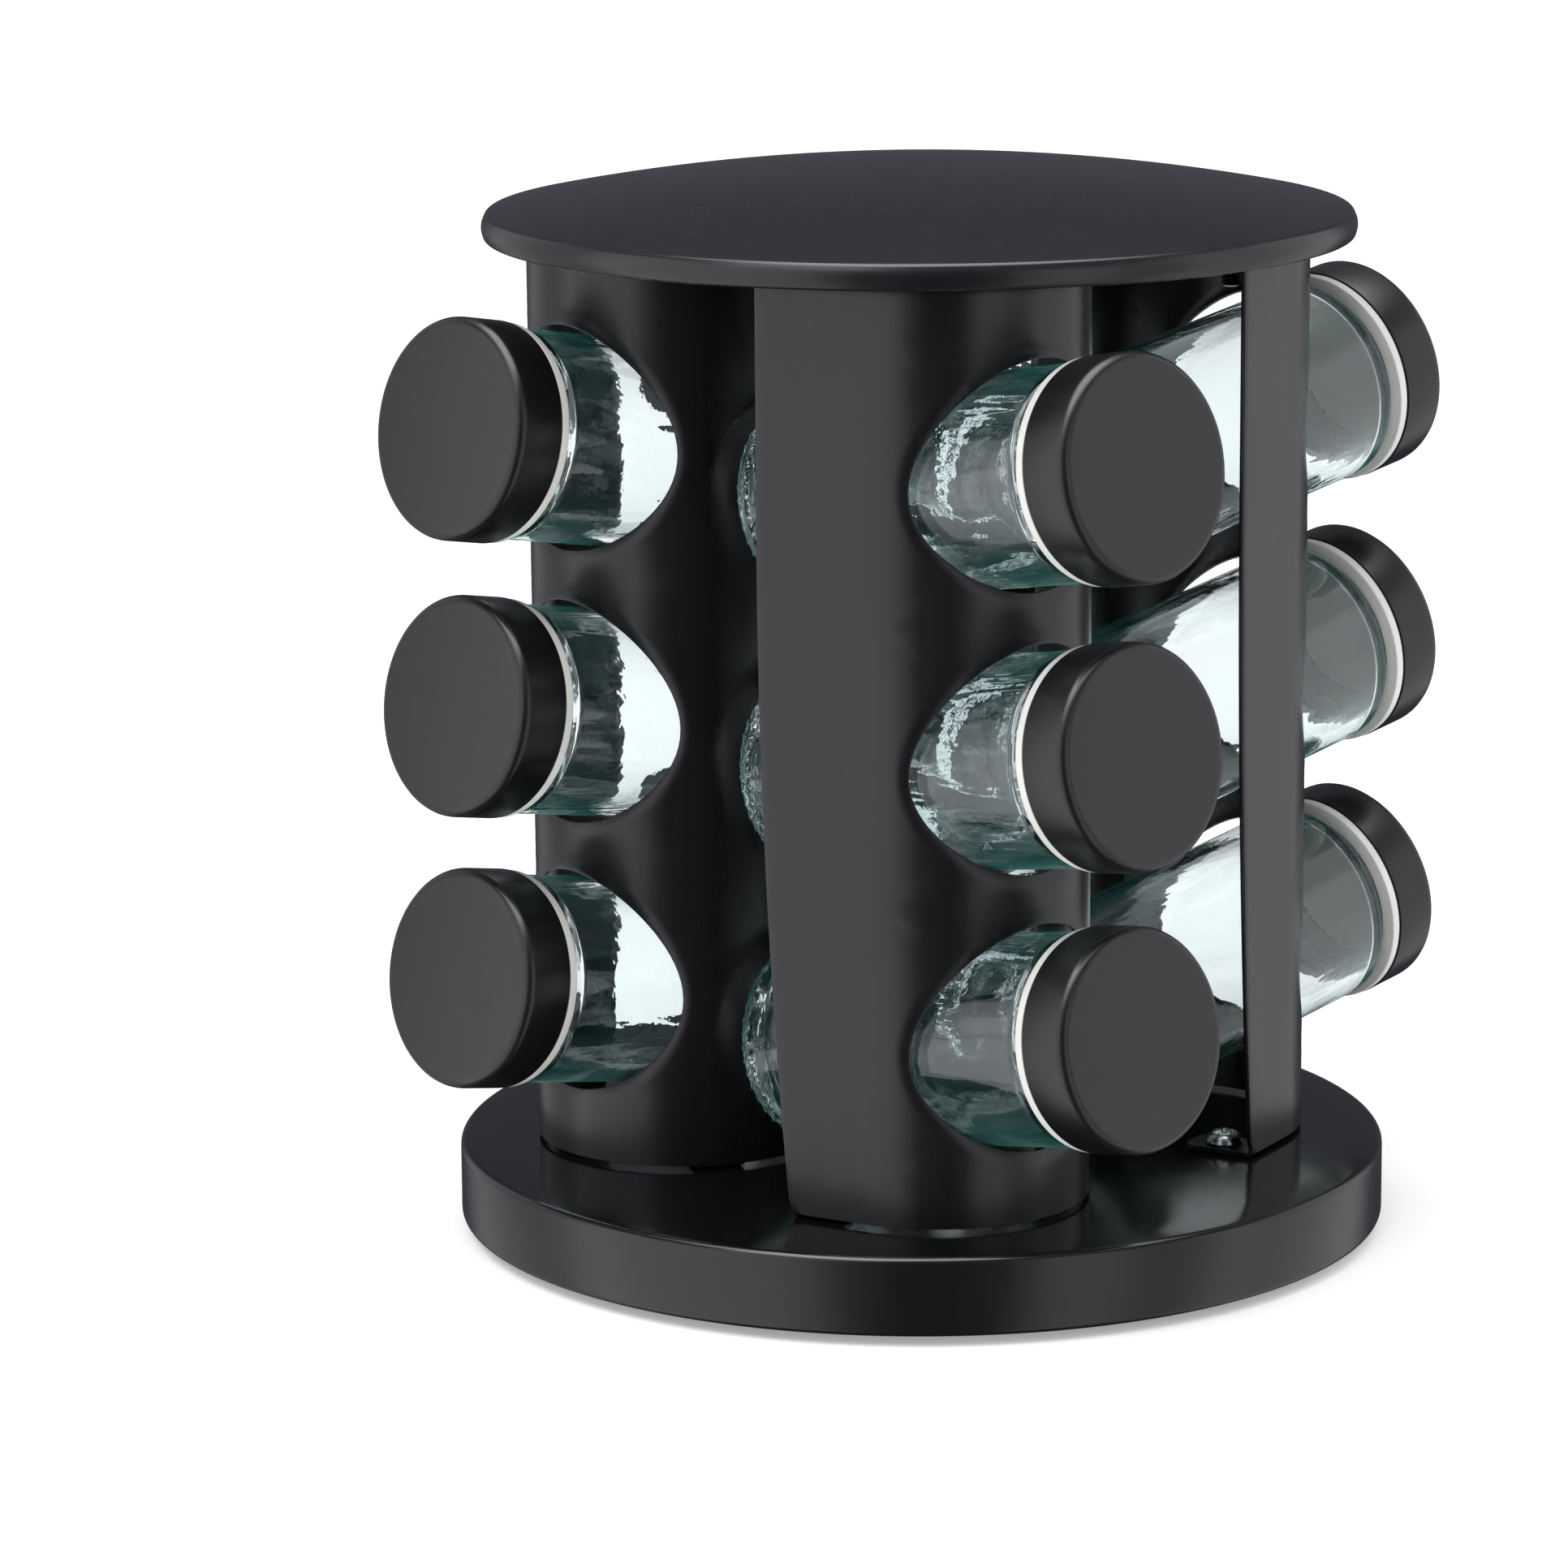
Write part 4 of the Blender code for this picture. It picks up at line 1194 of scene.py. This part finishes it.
def build_world():
    """The dark studio that reflections show: upright softboxes, one overhead, and a glow above."""
    world = bpy.data.worlds.new("studio")
    bpy.context.scene.world = world
    world.use_nodes = True
    world.cycles.sampling_method = "NONE"
    tree = world.node_tree
    place = add_node(tree, "ShaderNodeTexCoord").outputs["Generated"]
    parts = add_node(tree, "ShaderNodeSeparateXYZ")
    tree.links.new(place, parts.inputs["Vector"])
    level = add_node(tree, "ShaderNodeCombineXYZ")
    tree.links.new(parts.outputs["X"], level.inputs["X"])
    tree.links.new(parts.outputs["Y"], level.inputs["Y"])
    heading = add_node(tree, "ShaderNodeVectorMath", operation="NORMALIZE")
    tree.links.new(level.outputs["Vector"], heading.inputs[0])
    sine = parts.outputs["Z"]
    total = None
    for azimuth, full, none, low, high, radiance in SOFTBOXES:
        facing = add_node(tree, "ShaderNodeVectorMath", operation="DOT_PRODUCT")
        tree.links.new(heading.outputs["Vector"], facing.inputs[0])
        facing.inputs[1].default_value = radial(math.radians(azimuth))
        across = remap(
            tree,
            facing.outputs["Value"],
            math.cos(math.radians(none)),
            math.cos(math.radians(full)),
            0.0,
            radiance,
            True,
        )
        above = remap(tree, sine, low - SOFT_EDGE, low, 0.0, 1.0, True)
        below = remap(tree, sine, high, high + SOFT_EDGE, 1.0, 0.0, True)
        total = summed(tree, product(tree, product(tree, across, above), below), total)
    for low, high, radiance in (OVERHEAD, UPPER_GLOW):
        total = summed(tree, remap(tree, sine, low, high, 0.0, radiance, True), total)
    colour = add_node(tree, "ShaderNodeMix", data_type="RGBA")
    colour.blend_type = "ADD"
    colour.clamp_factor = False
    tree.links.new(total, colour.inputs["Factor"])
    colour.inputs["A"].default_value = (*STUDIO_DARK, 1)
    colour.inputs["B"].default_value = (*STUDIO_WHITE, 1)
    tree.links.new(colour.outputs["Result"], tree.nodes["Background"].inputs["Color"])


def add_key_light(place, target, size, power):
    light = bpy.data.lights.new("key", "AREA")
    light.shape = "SQUARE"
    light.size = size
    light.energy = power
    lamp = bpy.data.objects.new("key", light)
    bpy.context.scene.collection.objects.link(lamp)
    lamp.location = place
    lamp.rotation_euler = (Vector(target) - Vector(place)).to_track_quat("-Z", "Y").to_euler()


# Camera: place in metres, turns in radians, lens and sensor in millimetres
CAMERA_PLACE = (0.0, -1.24222, 0.36108)
CAMERA_YAW = -0.022377
CAMERA_PITCH = 0.214347
CAMERA_ROLL = -0.006975
FOCAL_LENGTH = 142.797
SENSOR_WIDTH = 36.0


def add_camera():
    """The camera of the photograph, solved from the rims of the base, the top and the caps."""
    forward = Vector(
        (
            math.sin(CAMERA_YAW) * math.cos(CAMERA_PITCH),
            math.cos(CAMERA_YAW) * math.cos(CAMERA_PITCH),
            -math.sin(CAMERA_PITCH),
        )
    )
    right = Vector((math.cos(CAMERA_YAW), -math.sin(CAMERA_YAW), 0))
    upright = right.cross(forward)
    rolled_right = right * math.cos(CAMERA_ROLL) + upright * math.sin(CAMERA_ROLL)
    rolled_up = upright * math.cos(CAMERA_ROLL) - right * math.sin(CAMERA_ROLL)
    turn = Matrix((rolled_right, rolled_up, -forward)).transposed().to_4x4()
    camera = bpy.data.cameras.new("camera")
    camera.lens = FOCAL_LENGTH
    camera.sensor_width = SENSOR_WIDTH
    camera.clip_end = 50
    viewer = bpy.data.objects.new("camera", camera)
    bpy.context.scene.collection.objects.link(viewer)
    viewer.matrix_world = Matrix.Translation(CAMERA_PLACE) @ turn
    bpy.context.scene.camera = viewer


build_jars()
build_panels()
build_base()
build_dome()
build_top_plate()
build_screws()
build_nuts()
build_races()
build_rivet()
build_balls()
build_feet()
add_backdrop()
build_world()
add_key_light((-0.55, -0.75, 1.5), (0, 0, 0.1), 1.0, 9.0)
add_camera()
bpy.context.scene.view_settings.view_transform = "Standard"
